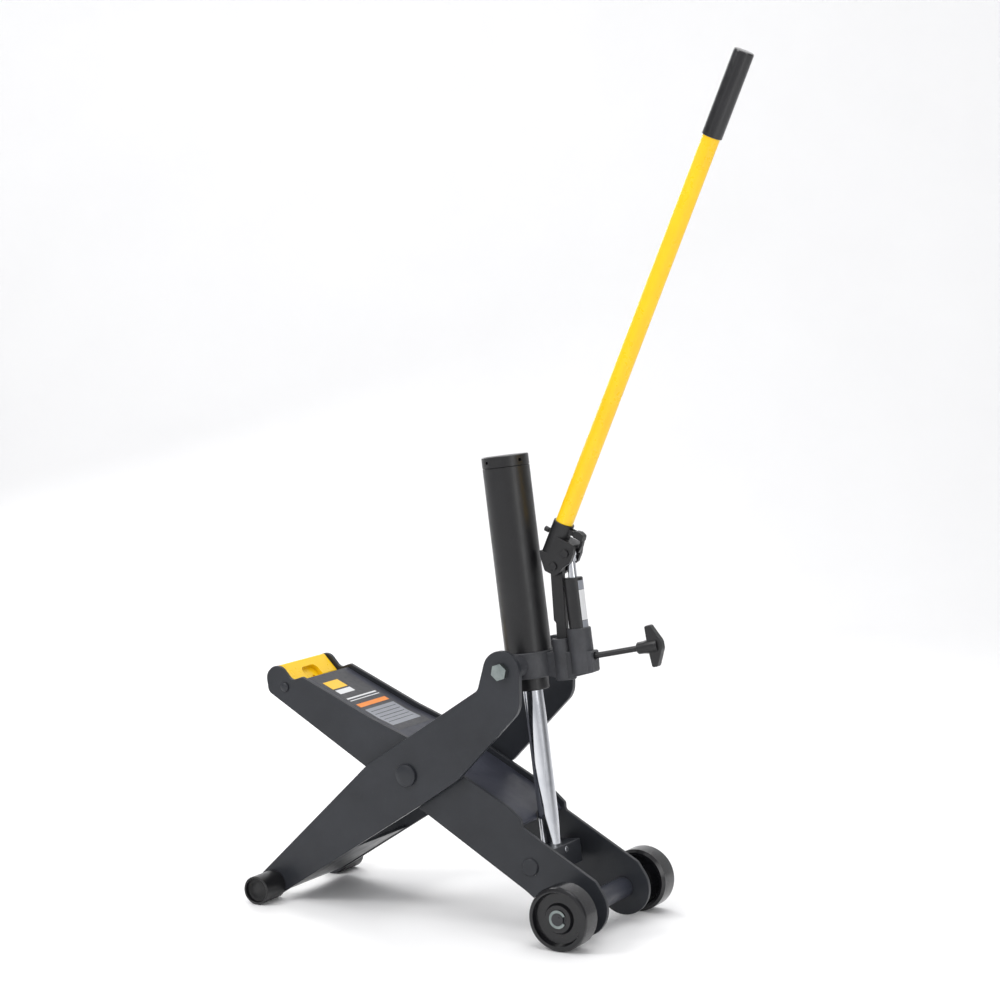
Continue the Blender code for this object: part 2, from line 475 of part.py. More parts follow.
thumb = body("thumb_screw_body", lever_body.location + Matrix.Rotation(LEVER_LEAN - RAM_LEAN, 3, "Y") @ Vector((TX, 0, 44 * MM)), LEVER_LEAN - RAM_LEAN)
screw.transform(Matrix.Translation((-TX, 0, -44 * MM)))
place("thumb_screw", screw, thumb, CHARCOAL)
catch_body = body("handle_catch_body", lever_body.location + Matrix.Rotation(LEVER_LEAN - RAM_LEAN, 3, "Y") @ Vector((CATCH_PIN[0], 0, CATCH_PIN[1])),
                  LEVER_LEAN - RAM_LEAN)


def from_catch_pin(outline):
    return [Vector((p[0] - CATCH_PIN[0] / MM, p[1] - CATCH_PIN[1] / MM)) for p in outline]


tongue = rounded([(1.3, 55.6, 2.7), (9.5, 55.0, 0), (21.8, 54.0, 0), (25.2, 28.5, 0.8), (27.4, 47.0, 3), (24.6, 62.5, 4), (17.0, 64.5, 2), (9.5, 62.0, 0), (1.3, 61.4, 2.7)],
                 math.radians(30))
catch = place("handle_catch", prism(from_catch_pin(tongue), -3.4, 3.4), catch_body, CHARCOAL)
jaw = rounded([(8.2, 53.6, 1.5), (21.5, 53.2, 1.5), (26.2, 51.6, 3), (24.4, 63.4, 4), (16.0, 65.6, 2), (8.2, 64.0, 1.5)], math.radians(30))
join(catch, bevel(tool("add_jaw", prism(from_catch_pin(jaw), -6.5, 6.5), catch_body), 0.8))
cut(catch, tool("cut_catch_pin", rod(1.9, -6, 6, 12, "Y", chamfer=0), catch_body))
place("catch_pin", rod(1.6, -7.4, 7.4, 12, "Y", (CATCH_PIN[0], 0, CATCH_PIN[1]), 0.3), lever_body, STEEL)

# ------------------------------------------------------------------------- ram
top_of_ram = STROKE_LENGTH / MM + 46
place("ram_rod", lathe([(0, 10.4), (15, 10.4), (RAM_RADIUS / MM, 11.4), (RAM_RADIUS / MM, top_of_ram - 24), (10, top_of_ram - 24), (10, top_of_ram - 1),
                        (9, top_of_ram), (0, top_of_ram)], 24), ram, CHROME)
head_low, head_high = top_of_ram - 23.7, top_of_ram - 1.4
place("ram_piston", lathe([(10.3, head_low), (20.2, head_low), (20.2, head_low + 8), (17, head_low + 8), (17, head_low + 14), (20.2, head_low + 14),
                           (20.2, head_high), (10.3, head_high)], 24), ram, STEEL)
place("ram_seal", lathe([(17.3, head_low + 8.3), (20.2, head_low + 8.3), (20.2, head_low + 13.7), (17.3, head_low + 13.7)], 24), ram, RUBBER)
foot = bevel(place("ram_foot", box(-25, 25, -49, 49, -17, 20), ram, CHARCOAL), 1.6)
cut(foot, tool("cut_foot_pin", rod(9.4, -60, 60, 24, "Y", chamfer=0), ram),
    tool("cut_foot_ram", rod(16.4, 9.9, 30, 32, chamfer=0), ram),
    tool("cut_foot_screw", rod(5.3, 16.6, 30, 16, "X", (0, 0, 12 * MM), 0), ram))
place("ram_set_screw", lathe([(0, 17.0), (5, 17.0), (5, 25.4), (4.2, 26.2), (2.6, 26.2), (2.6, 23.6), (0, 23.6)], 16, "X", (0, 0, 12 * MM)), ram, STEEL)

# --------------------------------------------------------------- release valve
place("valve_rod", lathe([(0, -15), (3, -15), (4.7, -12), (4.7, 75.1), (0, 75.1)], 18, "X"), valve_body, BLACK)
knob = place("valve_knob", lathe([(0, 75.5), (8.2, 75.5), (9.4, 76.8), (9.8, 86), (11.8, 98), (11.8, 112), (0, 113)], 24, "X"), valve_body, BLACK)
wing = rounded([(96.0, -32.5, 3), (105.0, -32.5, 3.5), (118.5, -6, 14), (118.5, 6, 14), (105.0, 32.5, 3.5), (96.0, 32.5, 3), (95.0, 9, 5), (95.0, -9, 5)])
join(knob, bevel(tool("add_wing", prism(wing, -7.5, 7.5), valve_body), 2.0))
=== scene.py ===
"""Looks for the forklift jack: every piece is built again, finer, in the place of its CAD node."""

import json
import math

import bmesh
import bpy
from mathutils import Matrix, Vector

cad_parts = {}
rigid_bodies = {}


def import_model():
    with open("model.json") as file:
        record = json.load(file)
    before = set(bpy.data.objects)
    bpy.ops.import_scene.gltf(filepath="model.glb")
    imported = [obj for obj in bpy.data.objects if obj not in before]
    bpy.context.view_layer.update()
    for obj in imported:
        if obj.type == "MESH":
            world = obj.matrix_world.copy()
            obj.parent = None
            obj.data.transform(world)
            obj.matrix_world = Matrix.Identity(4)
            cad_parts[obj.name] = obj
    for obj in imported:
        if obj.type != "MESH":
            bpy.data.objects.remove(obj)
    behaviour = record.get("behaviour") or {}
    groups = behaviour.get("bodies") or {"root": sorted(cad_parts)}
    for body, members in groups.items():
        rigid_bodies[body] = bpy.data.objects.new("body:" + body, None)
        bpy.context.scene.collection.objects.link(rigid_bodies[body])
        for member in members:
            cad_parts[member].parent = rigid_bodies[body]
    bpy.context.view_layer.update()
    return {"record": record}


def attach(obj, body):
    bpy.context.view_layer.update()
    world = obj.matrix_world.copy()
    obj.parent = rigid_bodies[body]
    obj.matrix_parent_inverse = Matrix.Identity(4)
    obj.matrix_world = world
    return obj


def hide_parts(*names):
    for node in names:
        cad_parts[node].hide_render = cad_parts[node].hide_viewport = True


for old in list(bpy.data.objects):
    bpy.data.objects.remove(old, do_unlink=True)

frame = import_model()

BUILT = {}      # node name: (object, finish)
helpers = []    # everything that only serves to build them
FINER = 3.0     # segments per turn, times the solid's

# ---------------------------------------------------------------- dimensions
MM = 0.001
GAP = 0.3 * MM                  # clearance between touching pieces

AXLE_X = 172.08 * MM             # axle, from the middle of the object's length
WHEEL_RADIUS = 50.0 * MM
WHEEL_OUTER_Y = 157.7 * MM
WHEEL_WIDTH = 42.0 * MM
AXLE_RADIUS = 10.0 * MM

ARM_LEAN = math.radians(30.8)   # inner arm, raised
CROSS_TO_AXLE = 351.8 * MM
CROSS_TO_FOOT = 328.5 * MM
LINK_RADIUS = 248.0 * MM        # cross pin to trunnion, and to ram pin
TRUNNION_ANGLE = math.radians(7.6)  # trunnion above the foot-to-cross line
FOOT_RADIUS = 23.0 * MM
FOOT_END_Y = 147.2 * MM

OUTER_FACE = 95.2 * MM          # outer plates' outer face
OUTER_PLATE = 10.0 * MM
INNER_FACE = 77.1 * MM          # inner plates' outer face
INNER_PLATE = 7.5 * MM

RAM_RADIUS = 16.0 * MM
TUBE_RADIUS = 37.2 * MM
TUBE_TOP = 329.5 * MM           # above the trunnion
BLOCK_LENGTH = 50.0 * MM
PUMP_OFFSET = 94.6 * MM         # pump axis from the ram axis
BOSS_OFFSET = 62.0 * MM         # link boss from the ram axis
LEVER_LEAN = math.radians(30.45)  # handle, from the ram axis
HANDLE_RADIUS = 14.0 * MM
HANDLE_TOP = 843.0 * MM         # along the handle, from the fulcrum pin
HANDLE_OFFSET = -16.1 * MM      # handle axis beside the fulcrum pin
VALVE_RISE = math.radians(5.4)

# ------------------------------------------------------------ joint positions
AXLE = Vector((AXLE_X, 0.0, WHEEL_RADIUS))
CROSS = AXLE + CROSS_TO_AXLE * Vector((-math.cos(ARM_LEAN), 0, math.sin(ARM_LEAN)))
FOOT_LEAN = math.asin((CROSS.z - FOOT_RADIUS) / CROSS_TO_FOOT)
TRUNNION_LEAN = FOOT_LEAN + TRUNNION_ANGLE
TRUNNION = CROSS + LINK_RADIUS * Vector((math.cos(TRUNNION_LEAN), 0, math.sin(TRUNNION_LEAN)))
RAM_PIN = CROSS + LINK_RADIUS * Vector((math.cos(ARM_LEAN), 0, -math.sin(ARM_LEAN)))
RAM_LEAN = (TRUNNION_LEAN - ARM_LEAN) / 2   # ram from the vertical, towards -X
STROKE_LENGTH = (TRUNNION - RAM_PIN).length
SADDLE_PIN = (-267.5 * MM, -22.5 * MM)      # along and across the inner arm, from the cross
FULCRUM = (71.5 * MM, 150.0 * MM)           # in the hydraulic unit
LINK_FOOT = (64.0 * MM, 24.0 * MM)
PISTON_PIN_Z = 168.0 * MM
VALVE_START = (118.0 * MM, 4.5 * MM)


# -------------------------------------------------------------------- helpers
def body(name, at, turn=0.0):
    """The empty that carries one moving group: at its joint, turned about Y."""
    empty = bpy.data.objects.new(name, None)
    bpy.context.scene.collection.objects.link(empty)
    helpers.append(empty)
    empty.location = at
    empty.rotation_euler = (0.0, turn, 0.0)
    return empty


def place(name, bm, parent, mat, smooth=35.0):
    bmesh.ops.remove_doubles(bm, verts=bm.verts, dist=1e-6)
    bmesh.ops.recalc_face_normals(bm, faces=bm.faces)
    mesh = bpy.data.meshes.new("built_" + name)
    bm.to_mesh(mesh)
    bm.free()
    obj = bpy.data.objects.new("built_" + name, mesh)
    bpy.context.scene.collection.objects.link(obj)
    obj.parent = parent
    if mat:
        BUILT[name] = (obj, mat)
    helpers.append(obj)
    return obj


AXES = {
    "X": Matrix(((0, 0, 1), (0, 1, 0), (-1, 0, 0))).to_4x4(),
    "Y": Matrix(((1, 0, 0), (0, 0, 1), (0, -1, 0))).to_4x4(),
    "Z": Matrix.Identity(4),
}


def lathe(profile, steps, axis="Z", at=(0, 0, 0), angle=math.tau, turn=0.0):
    """Turn (radius, height) points in millimetres about an axis. The height
    runs along +X, +Y or +Z. A profile that leaves the axis is a closed ring."""
    steps = round(steps * FINER)
    bm = bmesh.new()
    verts = [bm.verts.new((r * MM, 0.0, t * MM)) for r, t in profile]
    closed = profile[0][0] > 1e-6 or profile[-1][0] > 1e-6
    pairs = list(zip(verts, verts[1:]))
    if closed:
        pairs.append((verts[-1], verts[0]))
    edges = [bm.edges.new(pair) for pair in pairs]
    if angle < math.tau - 1e-6:
        face = bm.faces.new(verts)
        geom = [face] + list(face.edges) + list(face.verts)
    else:
        geom = verts + edges
    bmesh.ops.spin(bm, geom=geom, cent=(0, 0, 0), axis=(0, 0, 1), angle=angle, steps=steps)
    bmesh.ops.remove_doubles(bm, verts=bm.verts, dist=1e-6)
    spin = Matrix.Rotation(turn, 4, "Z")
    bm.transform(Matrix.Translation(at) @ AXES[axis] @ spin)
    return bm


def ring(inner, outer, low, high, steps, axis="Z", at=(0, 0, 0), chamfer=0.6):
    c = chamfer
    return lathe([(inner, low), (outer - c, low), (outer, low + c), (outer, high - c),
                  (outer - c, high), (inner, high)], steps, axis, at)


def rod(radius, low, high, steps, axis="Z", at=(0, 0, 0), chamfer=0.6):
    c = chamfer
    return lathe([(0, low), (radius - c, low), (radius, low + c), (radius, high - c),
                  (radius - c, high), (0, high)], steps, axis, at)


def rounded(corners, step=math.radians(6)):
    """An outline in millimetres from (x, z, radius) corners, with each corner
    turned into an arc of its radius."""
    points = []
    count = len(corners)
    for i, (x, z, r) in enumerate(corners):
        here = Vector((x, z))
        back = Vector(corners[i - 1][:2]) - here
        ahead = Vector(corners[(i + 1) % count][:2]) - here
        if r <= 0:
            points.append(here)
            continue
        a, b = back.normalized(), ahead.normalized()
        half = math.acos(max(-1.0, min(1.0, a.dot(b)))) / 2
        reach = r / math.tan(half)
        centre = here + (a + b).normalized() * (r / math.sin(half))
        start, end = here + a * reach, here + b * reach
        first = math.atan2(*(start - centre).yx)
        sweep = (math.atan2(*(end - centre).yx) - first + math.pi) % math.tau - math.pi
        parts = max(1, round(abs(sweep) / step))
        for k in range(parts + 1):
            turn = first + sweep * k / parts
            points.append(centre + r * Vector((math.cos(turn), math.sin(turn))))
    return points


def arc(cx, cz, r, first, last, parts):
    parts *= 3
    return [Vector((cx + r * math.cos(math.radians(first + (last - first) * k / parts)),
                    cz + r * math.sin(math.radians(first + (last - first) * k / parts))))
            for k in range(parts + 1)]


def prism(outline, low, high, plane="XZ"):
    """An outline in millimetres, extruded along the third axis."""
    bm = bmesh.new()
    def spot(p, t):
        if plane == "XZ":
            return (p[0] * MM, t * MM, p[1] * MM)
        if plane == "XY":
            return (p[0] * MM, p[1] * MM, t * MM)
        return (t * MM, p[0] * MM, p[1] * MM)
    face = bm.faces.new([bm.verts.new(spot(p, low)) for p in outline])
    grown = bmesh.ops.extrude_face_region(bm, geom=[face])
    lift = Vector(spot((0, 0), high - low))
    bmesh.ops.translate(bm, vec=lift, verts=[v for v in grown["geom"] if isinstance(v, bmesh.types.BMVert)])
    return bm


def box(x0, x1, y0, y1, z0, z1):
    return prism([(x0, z0), (x1, z0), (x1, z1), (x0, z1)], y0, y1)


def bevel(obj, width, segments=1, angle=40.0):
    mod = obj.modifiers.new("edge", "BEVEL")
    mod.width = width * MM
    mod.segments = 3
    mod.limit_method = "ANGLE"
    mod.angle_limit = math.radians(angle)
    mod.use_clamp_overlap = True
    return obj


def tool(name, bm, parent):
    """A cutter, or a shape to be joined on: never part of the object itself."""
    obj = place(name, bm, parent, None)
    obj.hide_render = True
    obj.display_type = "WIRE"
    return obj


def combine(obj, operation, others):
    for other in others:
        mod = obj.modifiers.new(other.name, "BOOLEAN")
        mod.operation = operation
        mod.solver = "MANIFOLD"
        mod.object = other
    return obj


def cut(obj, *others):
    return combine(obj, "DIFFERENCE", others)


def join(obj, *others):
    return combine(obj, "UNION", others)


# ------------------------------------------------------------------ the bodies
rear_axle = body("rear_axle_body", AXLE)
inner_arm = body("inner_arm_body", AXLE, ARM_LEAN)
outer_arm = body("outer_arm_body", CROSS, -FOOT_LEAN)
hydraulics = body("hydraulic_unit_body", TRUNNION, -RAM_LEAN)
ram = body("ram_body", RAM_PIN, -RAM_LEAN)


def in_unit(x, z):
    """A point of the hydraulic unit's own frame, in world space."""
    return TRUNNION + Matrix.Rotation(-RAM_LEAN, 3, "Y") @ Vector((x, 0, z))


def in_inner(u, n):
    return CROSS + Matrix.Rotation(ARM_LEAN, 3, "Y") @ Vector((u, 0, n))


saddle_tilt = body("saddle_body", in_inner(*SADDLE_PIN), ARM_LEAN)
link_body = body("fulcrum_link_body", in_unit(*LINK_FOOT), -RAM_LEAN)
lever_body = body("pump_lever_body", in_unit(*FULCRUM), LEVER_LEAN - RAM_LEAN)
piston_body = body("pump_piston_body", in_unit(PUMP_OFFSET, 0), -RAM_LEAN)
valve_body = body("release_valve_body", in_unit(*VALVE_START), -RAM_LEAN - VALVE_RISE)

# along the inner arm, plate outlines count from the cross pin
SHIFT = CROSS_TO_AXLE / MM

# ------------------------------------------------------------- axle and wheels
shaft_profile = [(0, -157.4), (9, -157.4), (10, -156.9), (10, -156.75), (9, -156.75), (9, -155.15), (10, -155.15),
                 (10, 155.15), (9, 155.15), (9, 156.75), (10, 156.75), (10, 156.9), (9, 157.4), (0, 157.4)]
place("axle_shaft", lathe(shaft_profile, 24, "Y"), rear_axle, "steel")

for side, name in ((-1, "near"), (1, "far")):
    wheel = body(f"wheel_{name}_body", AXLE)
    inner = (WHEEL_OUTER_Y - WHEEL_WIDTH) / MM
    face = WHEEL_OUTER_Y / MM
    profile = [(13.3, inner + 1), (21, inner + 1), (23, inner + 8), (38, inner + 8), (41, inner), (45.5, inner),
               (50, inner + 4.5), (50, face - 5), (48.4, face - 1.5), (45, face), (42, face), (39, face - 8.5),
               (24.5, face - 8.5), (21.5, face - 3.2), (13.3, face - 3.2)]
    place(f"wheel_{name}", lathe([(r, side * t) for r, t in profile], 32, "Y"), wheel, "black")
    place(f"wheel_bushing_{name}", lathe([(10.35, side * t) if i in (0, 3) else (12.95, side * t)
          for i, t in enumerate((inner + 1.2, inner + 1.2, face - 3.4, face - 3.4))], 24, "Y"), wheel, "bronze")
    clip = lathe([(9.35, side * 155.45), (14.2, side * 155.45), (14.2, side * 156.45), (9.35, side * 156.45)], 22, "Y",
                 angle=math.radians(306), turn=math.radians(27))
    place(f"retaining_ring_{name}", clip, rear_axle, "zinc")
    low, high = sorted((side * (INNER_FACE / MM + 0.3), side * (inner - 0.3)))
    place(f"wheel_spacer_{name}", ring(10.4, 15, low, high, 24, "Y"), rear_axle, "steel")

# ------------------------------------------------------------------- inner arm
heel = [(p.x, p.y, 0) for p in arc(SHIFT, 0, 45.0, 68, -88, 12)]
inner_outline = [Vector((p.x - SHIFT, p.y)) for p in rounded(
    [(-290, -47.6, 14), (-309, -25, 19), (-302, 5.5, 18), (-263, -6.5, 11), (-249.5, 10.8, 5), (-110, 29.7, 200),
     (-34, 44.2, 120), (80, 51.4, 200), (168, 57.6, 30), (196, 53.5, 6), (203, 44.0, 7), (350, 49.8, 12)]
    + heel + [(262, -37.2, 60)])]
for side, name in ((-1, "near"), (1, "far")):
    low, high = sorted((side * (INNER_FACE - INNER_PLATE) / MM, side * INNER_FACE / MM))
    plate = bevel(place(f"inner_plate_{name}", prism(inner_outline, low, high), inner_arm, "charcoal"), 1.0)
    holes = [
        ("axle", 0, 0, 10.6), ("cross", -SHIFT, 0, 12.6), ("ram", LINK_RADIUS / MM - SHIFT, 0, 14.5),
        ("saddle", SADDLE_PIN[0] / MM - SHIFT, SADDLE_PIN[1] / MM, 8.0)]
    for label, x, z, r in holes:
        cut(plate, tool(f"cut_inner_{name}_{label}", rod(r, low - 5, high + 5, 18, "Y", (x * MM, 0, z * MM), 0), inner_arm))

INNER_GAP = (INNER_FACE - INNER_PLATE) / MM - GAP / MM
web_top = [(-250, 4.0), (-232, 5.8), (-110, 22.0), (-72, 30.6), (-34, 36.2), (80, 43.4), (165, 48.8), (190, 45.8), (196.5, 43.6)]
web_outline = [Vector((u - SHIFT, n)) for u, n in web_top] + [Vector((u - SHIFT, n - 6.0)) for u, n in reversed(web_top)]
web = bevel(place("inner_web", prism(web_outline, -INNER_GAP, INNER_GAP), inner_arm, "charcoal"), 0.8)
notch_at = Vector(((LINK_RADIUS - CROSS_TO_AXLE), 0, 0))
notch = rod(19.0, 0, 120, 24, "Z", (0, 0, 0), 0)
notch.transform(Matrix.Translation(notch_at) @ Matrix.Rotation(-RAM_LEAN - ARM_LEAN, 4, "Y"))
cut(web, tool("cut_web_ram", notch, inner_arm))
place("axle_tube", ring(10.6, 16.5, -INNER_GAP, INNER_GAP, 22, "Y"), inner_arm, "charcoal")
toe_at = (SADDLE_PIN[0] - CROSS_TO_AXLE, 0, SADDLE_PIN[1])
for side, name in ((-1, "near"), (1, "far")):
    pin = [(0, side * 34), (6.9, side * 34), (7.7, side * 35), (7.7, side * 78), (7.2, side * 79.4), (5, side * 80.6), (0, side * 81)]
    place(f"saddle_pin_{name}", lathe(pin, 24, "Y", toe_at), inner_arm, "charcoal")
ram_at = (LINK_RADIUS - CROSS_TO_AXLE, 0, 0)
place("ram_pin", lathe([(0, -80.0), (12.6, -80.0), (14.2, -78.6), (14.2, -68), (9, -68), (9, 68), (14.2, 68), (14.2, 78.6), (12.6, 80.0), (0, 80.0)],
                       28, "Y", ram_at), inner_arm, "charcoal")

# ---------------------------------------------------------------------- saddle
pad = rounded([(-32.5, 20.6, 3), (3.5, 11.6, 3), (10.5, 4, 3), (9, -9, 4), (-3, -14, 6), (-24, -10, 6), (-36, 6, 6)], math.radians(10))
saddle = bevel(place("saddle", prism(pad, -67, 67), saddle_tilt, "yellow"), 1.5, 1)
POCKET_LEAN = Matrix.Rotation(math.radians(14), 4, "Y")   # the pad slopes down to the rear
pocket = prism(rounded([(-21, -23, 11), (40, -23, 0), (40, 23, 0), (-21, 23, 11)]), 4.2, 40, "XY")
pocket.transform(POCKET_LEAN)
grease_hole = rod(4.2, -2, 12, 20, "Z", (-1 * MM, 8 * MM, 0), 0)
grease_hole.transform(POCKET_LEAN)
cut(saddle, tool("cut_saddle_pin_near", rod(8.1, -90, -33, 24, "Y", chamfer=0), saddle_tilt),
    tool("cut_saddle_pin_far", rod(8.1, 33, 90, 24, "Y", chamfer=0), saddle_tilt),
    tool("cut_saddle_pocket", pocket, saddle_tilt),
    tool("cut_saddle_hole", grease_hole, saddle_tilt))

# ------------------------------------------------------------------- outer arm
ear = [(p.x, p.y, 0) for p in arc(LINK_RADIUS / MM * math.cos(TRUNNION_ANGLE), LINK_RADIUS / MM * math.sin(TRUNNION_ANGLE), 32.0,
                                  -math.degrees(FOOT_LEAN), 126, 12)]
outer_outline = rounded([(-353, -18.0, 20), (-10, -51.6, 300), (73.5, -57.6, 10), (232.6, -34.8, 36)] + ear
                        + [(192.5, 33.4, 13), (-54, 53.6, 70), (-353.5, 24.5, 22)])
for side, name in ((-1, "near"), (1, "far")):
    low, high = sorted((side * (OUTER_FACE - OUTER_PLATE) / MM, side * OUTER_FACE / MM))
    plate = bevel(place(f"outer_plate_{name}", prism(outer_outline, low, high), outer_arm, "charcoal"), 1.1)
    t_at = (LINK_RADIUS * math.cos(TRUNNION_ANGLE), 0, LINK_RADIUS * math.sin(TRUNNION_ANGLE))
    cut(plate, tool(f"cut_outer_{name}_cross", rod(12.6, low - 5, high + 5, 18, "Y", chamfer=0), outer_arm))
    cut(plate, tool(f"cut_outer_{name}_trunnion", rod(10.4, low - 5, high + 5, 18, "Y", t_at, 0), outer_arm))
    f_at = (-CROSS_TO_FOOT, 0, 0)
    low, high = sorted((side * (OUTER_FACE + GAP) / MM, side * FOOT_END_Y / MM))
    inside = [(19.6, side * (OUTER_FACE / MM + 0.3)), (23, side * (OUTER_FACE / MM + 0.3)), (23, side * 146.0), (21.9, side * 147.2),
              (20.4, side * 147.2), (19.6, side * 146.4)]
    place(f"foot_tube_{name}", lathe(inside, 28, "Y", f_at, turn=FOOT_LEAN), outer_arm, "black")
    plug = [(0, side * 134), (19.3, side * 134), (19.3, side * 140), (16, side * 139.2), (12.5, side * 139.2), (9, side * 141), (0, side * 141.8)]
    place(f"foot_plug_{name}", lathe(plug, 24, "Y", f_at, turn=FOOT_LEAN), outer_arm, "rubber")
    low, high = sorted((side * (INNER_FACE / MM + 0.3), side * ((OUTER_FACE - OUTER_PLATE) / MM - 0.3)))
    place(f"pivot_spacer_{name}", ring(12.5, 24, low, high, 22, "Y"), outer_arm, "steel")

OUTER_GAP = (OUTER_FACE - OUTER_PLATE - GAP) / MM
brace = [Vector((-322, -19.3)), Vector((-169, -34.6)), Vector((-168.4, -29.4)), Vector((-321.6, -14.0))]
bevel(place("outer_web", prism(brace, -OUTER_GAP, OUTER_GAP), outer_arm, "charcoal"), 0.8)

out = OUTER_FACE / MM
dome = [(18, out + 0.4), (18, out + 3.4), (17.2, out + 5.0), (13, out + 6.6), (7, out + 7.3), (0, out + 7.5)]
place("pivot_pin", lathe([(0, -out - 7.5)] + [(r, -t) for r, t in reversed(dome[:-1])] + [(12.2, -out - 0.4), (12.2, out + 3.0), (0, out + 3.0)],
                         32, "Y"), outer_arm, "charcoal")
place("pivot_cap", lathe([(0, out + 3.4), (12.5, out + 3.4), (12.5, out + 0.4)] + dome, 24, "Y"), outer_arm, "charcoal")

# -------------------------------------------------------------- hydraulic unit
block = place("hydraulic_block", lathe([(0, -22), (39.5, -22), (41, -20.5), (41, 17.5), (39.5, 19), (0, 19)], 28), hydraulics, "casting")
arm_side = [Vector(p) for p in ((32, -20.3), (64, -28.6), (114.5, -20.6), (116.3, -18.8), (117.6, 11), (116.0, 12.8), (90, 14.2), (32, 16.2))]
arm_shape = prism(arm_side, -13.0, 13.0)
join(block,
     bevel(tool("add_arm", arm_shape, hydraulics), 1.5),
     tool("add_link_boss", lathe([(0, -30), (15.5, -30), (16.5, -28.5), (16.5, 34), (15.4, 35.5), (0, 35.5)], 24, "Z",
                                 (BOSS_OFFSET, 0, 0)), hydraulics),
     tool("add_pump_boss", lathe([(0, -21), (18.4, -21), (19.4, -20), (18.6, 49), (17.2, 50.2), (0, 50.2)], 24, "Z",
                                 (PUMP_OFFSET, 0, 0)), hydraulics),
     tool("add_trunnion", rod(17.0, -84.6, 84.6, 22, "Y", chamfer=0.8), hydraulics))
cut(block,
    tool("cut_link_slot", box(BOSS_OFFSET / MM - 12, BOSS_OFFSET / MM + 12.4, -5.4, 5.4, 9, 40), hydraulics),
    tool("cut_cylinder_bore", rod(26.35, -30, 30, 32, chamfer=0), hydraulics),
    tool("cut_trunnion_near", rod(10.3, -90, -45, 18, "Y", chamfer=0), hydraulics),
    tool("cut_trunnion_far", rod(10.3, 45, 90, 18, "Y", chamfer=0), hydraulics),
    tool("cut_link_pin", rod(4.3, -12, 20, 16, "Y", (LINK_FOOT[0], 0, LINK_FOOT[1]), 0), hydraulics))
valve_hole = rod(6.2, -16, 20, 20, "X", (0, 0, 0), 0)
valve_hole.transform(Matrix.Translation((VALVE_START[0], 0, VALVE_START[1])) @ Matrix.Rotation(-VALVE_RISE, 4, "Y"))
cut(block, tool("cut_valve", valve_hole, hydraulics),
    tool("cut_pump_bore", rod(15.65, 20, 60, 24, "Z", (PUMP_OFFSET, 0, 0), 0), hydraulics))
for mod in block.modifiers:
    mod.solver = "MANIFOLD"

place("gland_nut", lathe([(16.5, -42), (25.6, -42), (26.8, -40.8), (26.8, -22.4), (26.0, -22.4), (26.0, -17), (16.5, -17)], 28), hydraulics, "black")
place("pressure_cylinder", lathe([(20.8, -16.6), (26, -16.6), (26, 299), (20.8, 299)], 22), hydraulics, "steel")
WALL = TUBE_RADIUS / MM
place("reservoir_tube", lathe([(WALL - 3, 19.4), (WALL, 19.4), (WALL, 311.0), (WALL - 0.7, 311.7), (WALL - 3, 311.7)], 32), hydraulics, "black")
cap = place("top_cap", lathe([(0, 302), (WALL - 3.4, 302), (WALL - 3.4, 312), (WALL - 0.7, 312), (WALL, 312.7), (WALL, 328.3), (WALL - 1.2, 329.5), (0, 329.5)], 32),
            hydraulics, "black")
for k in range(4):
    spot = rod(2.8, 31.5, 44, 10, "X", (0, 0, 321.0 * MM), 0)
    spot.transform(Matrix.Rotation(math.radians(90 * k - 23), 4, "Z"))
    cut(cap, tool(f"cut_cap_{k}", spot, hydraulics))
place("filler_plug", lathe([(0, 37.5), (6, 37.5), (6.5, 38.1), (6.5, 39.6), (5, 41), (0, 41.4)], 20, "Y", (0, 0, 0.262)), hydraulics, "rubber")

place("pump_barrel", lathe([(0, 20.4), (15.3, 20.4), (15.3, 127.8), (14.2, 129), (7.4, 129), (7.4, 48), (0, 48)], 22, "Z", (PUMP_OFFSET, 0, 0)),
      hydraulics, "black")
place("link_pin_lower", rod(4.0, -11.6, 17.0, 16, "Y", (LINK_FOOT[0], 0, LINK_FOOT[1]), 0.5), hydraulics, "steel")

for side, name in ((-1, "near"), (1, "far")):
    # hexagon 27 mm across flats, with a turned chamfer under its corners
    bolt = bmesh.new()
    flat = 13.5
    hexagon = [Vector((flat / math.cos(math.radians(10)) * math.cos(math.radians(60 * k + 12)),
                       flat / math.cos(math.radians(10)) * math.sin(math.radians(60 * k + 12)))) for k in range(6)]
    low, high = sorted((side * (out + 0.4), side * (out + 8.0)))
    bolt.free()
    head = place(f"trunnion_bolt_{name}", prism(hexagon, low, high), hydraulics, "zinc")
    crown = lathe([(0, side * 40), (22, side * 40), (22, side * (out + 4.4)), (13.0, side * (out + 9.2)), (0, side * (out + 9.2))], 24, "Y")
    combine(head, "INTERSECT", [tool(f"crown_{name}", crown, hydraulics)])
    low, high = sorted((side * 47, side * (out + 1.0)))
    join(head, tool(f"shank_{name}", rod(10.0, low, high, 24, "Y", chamfer=0), hydraulics))

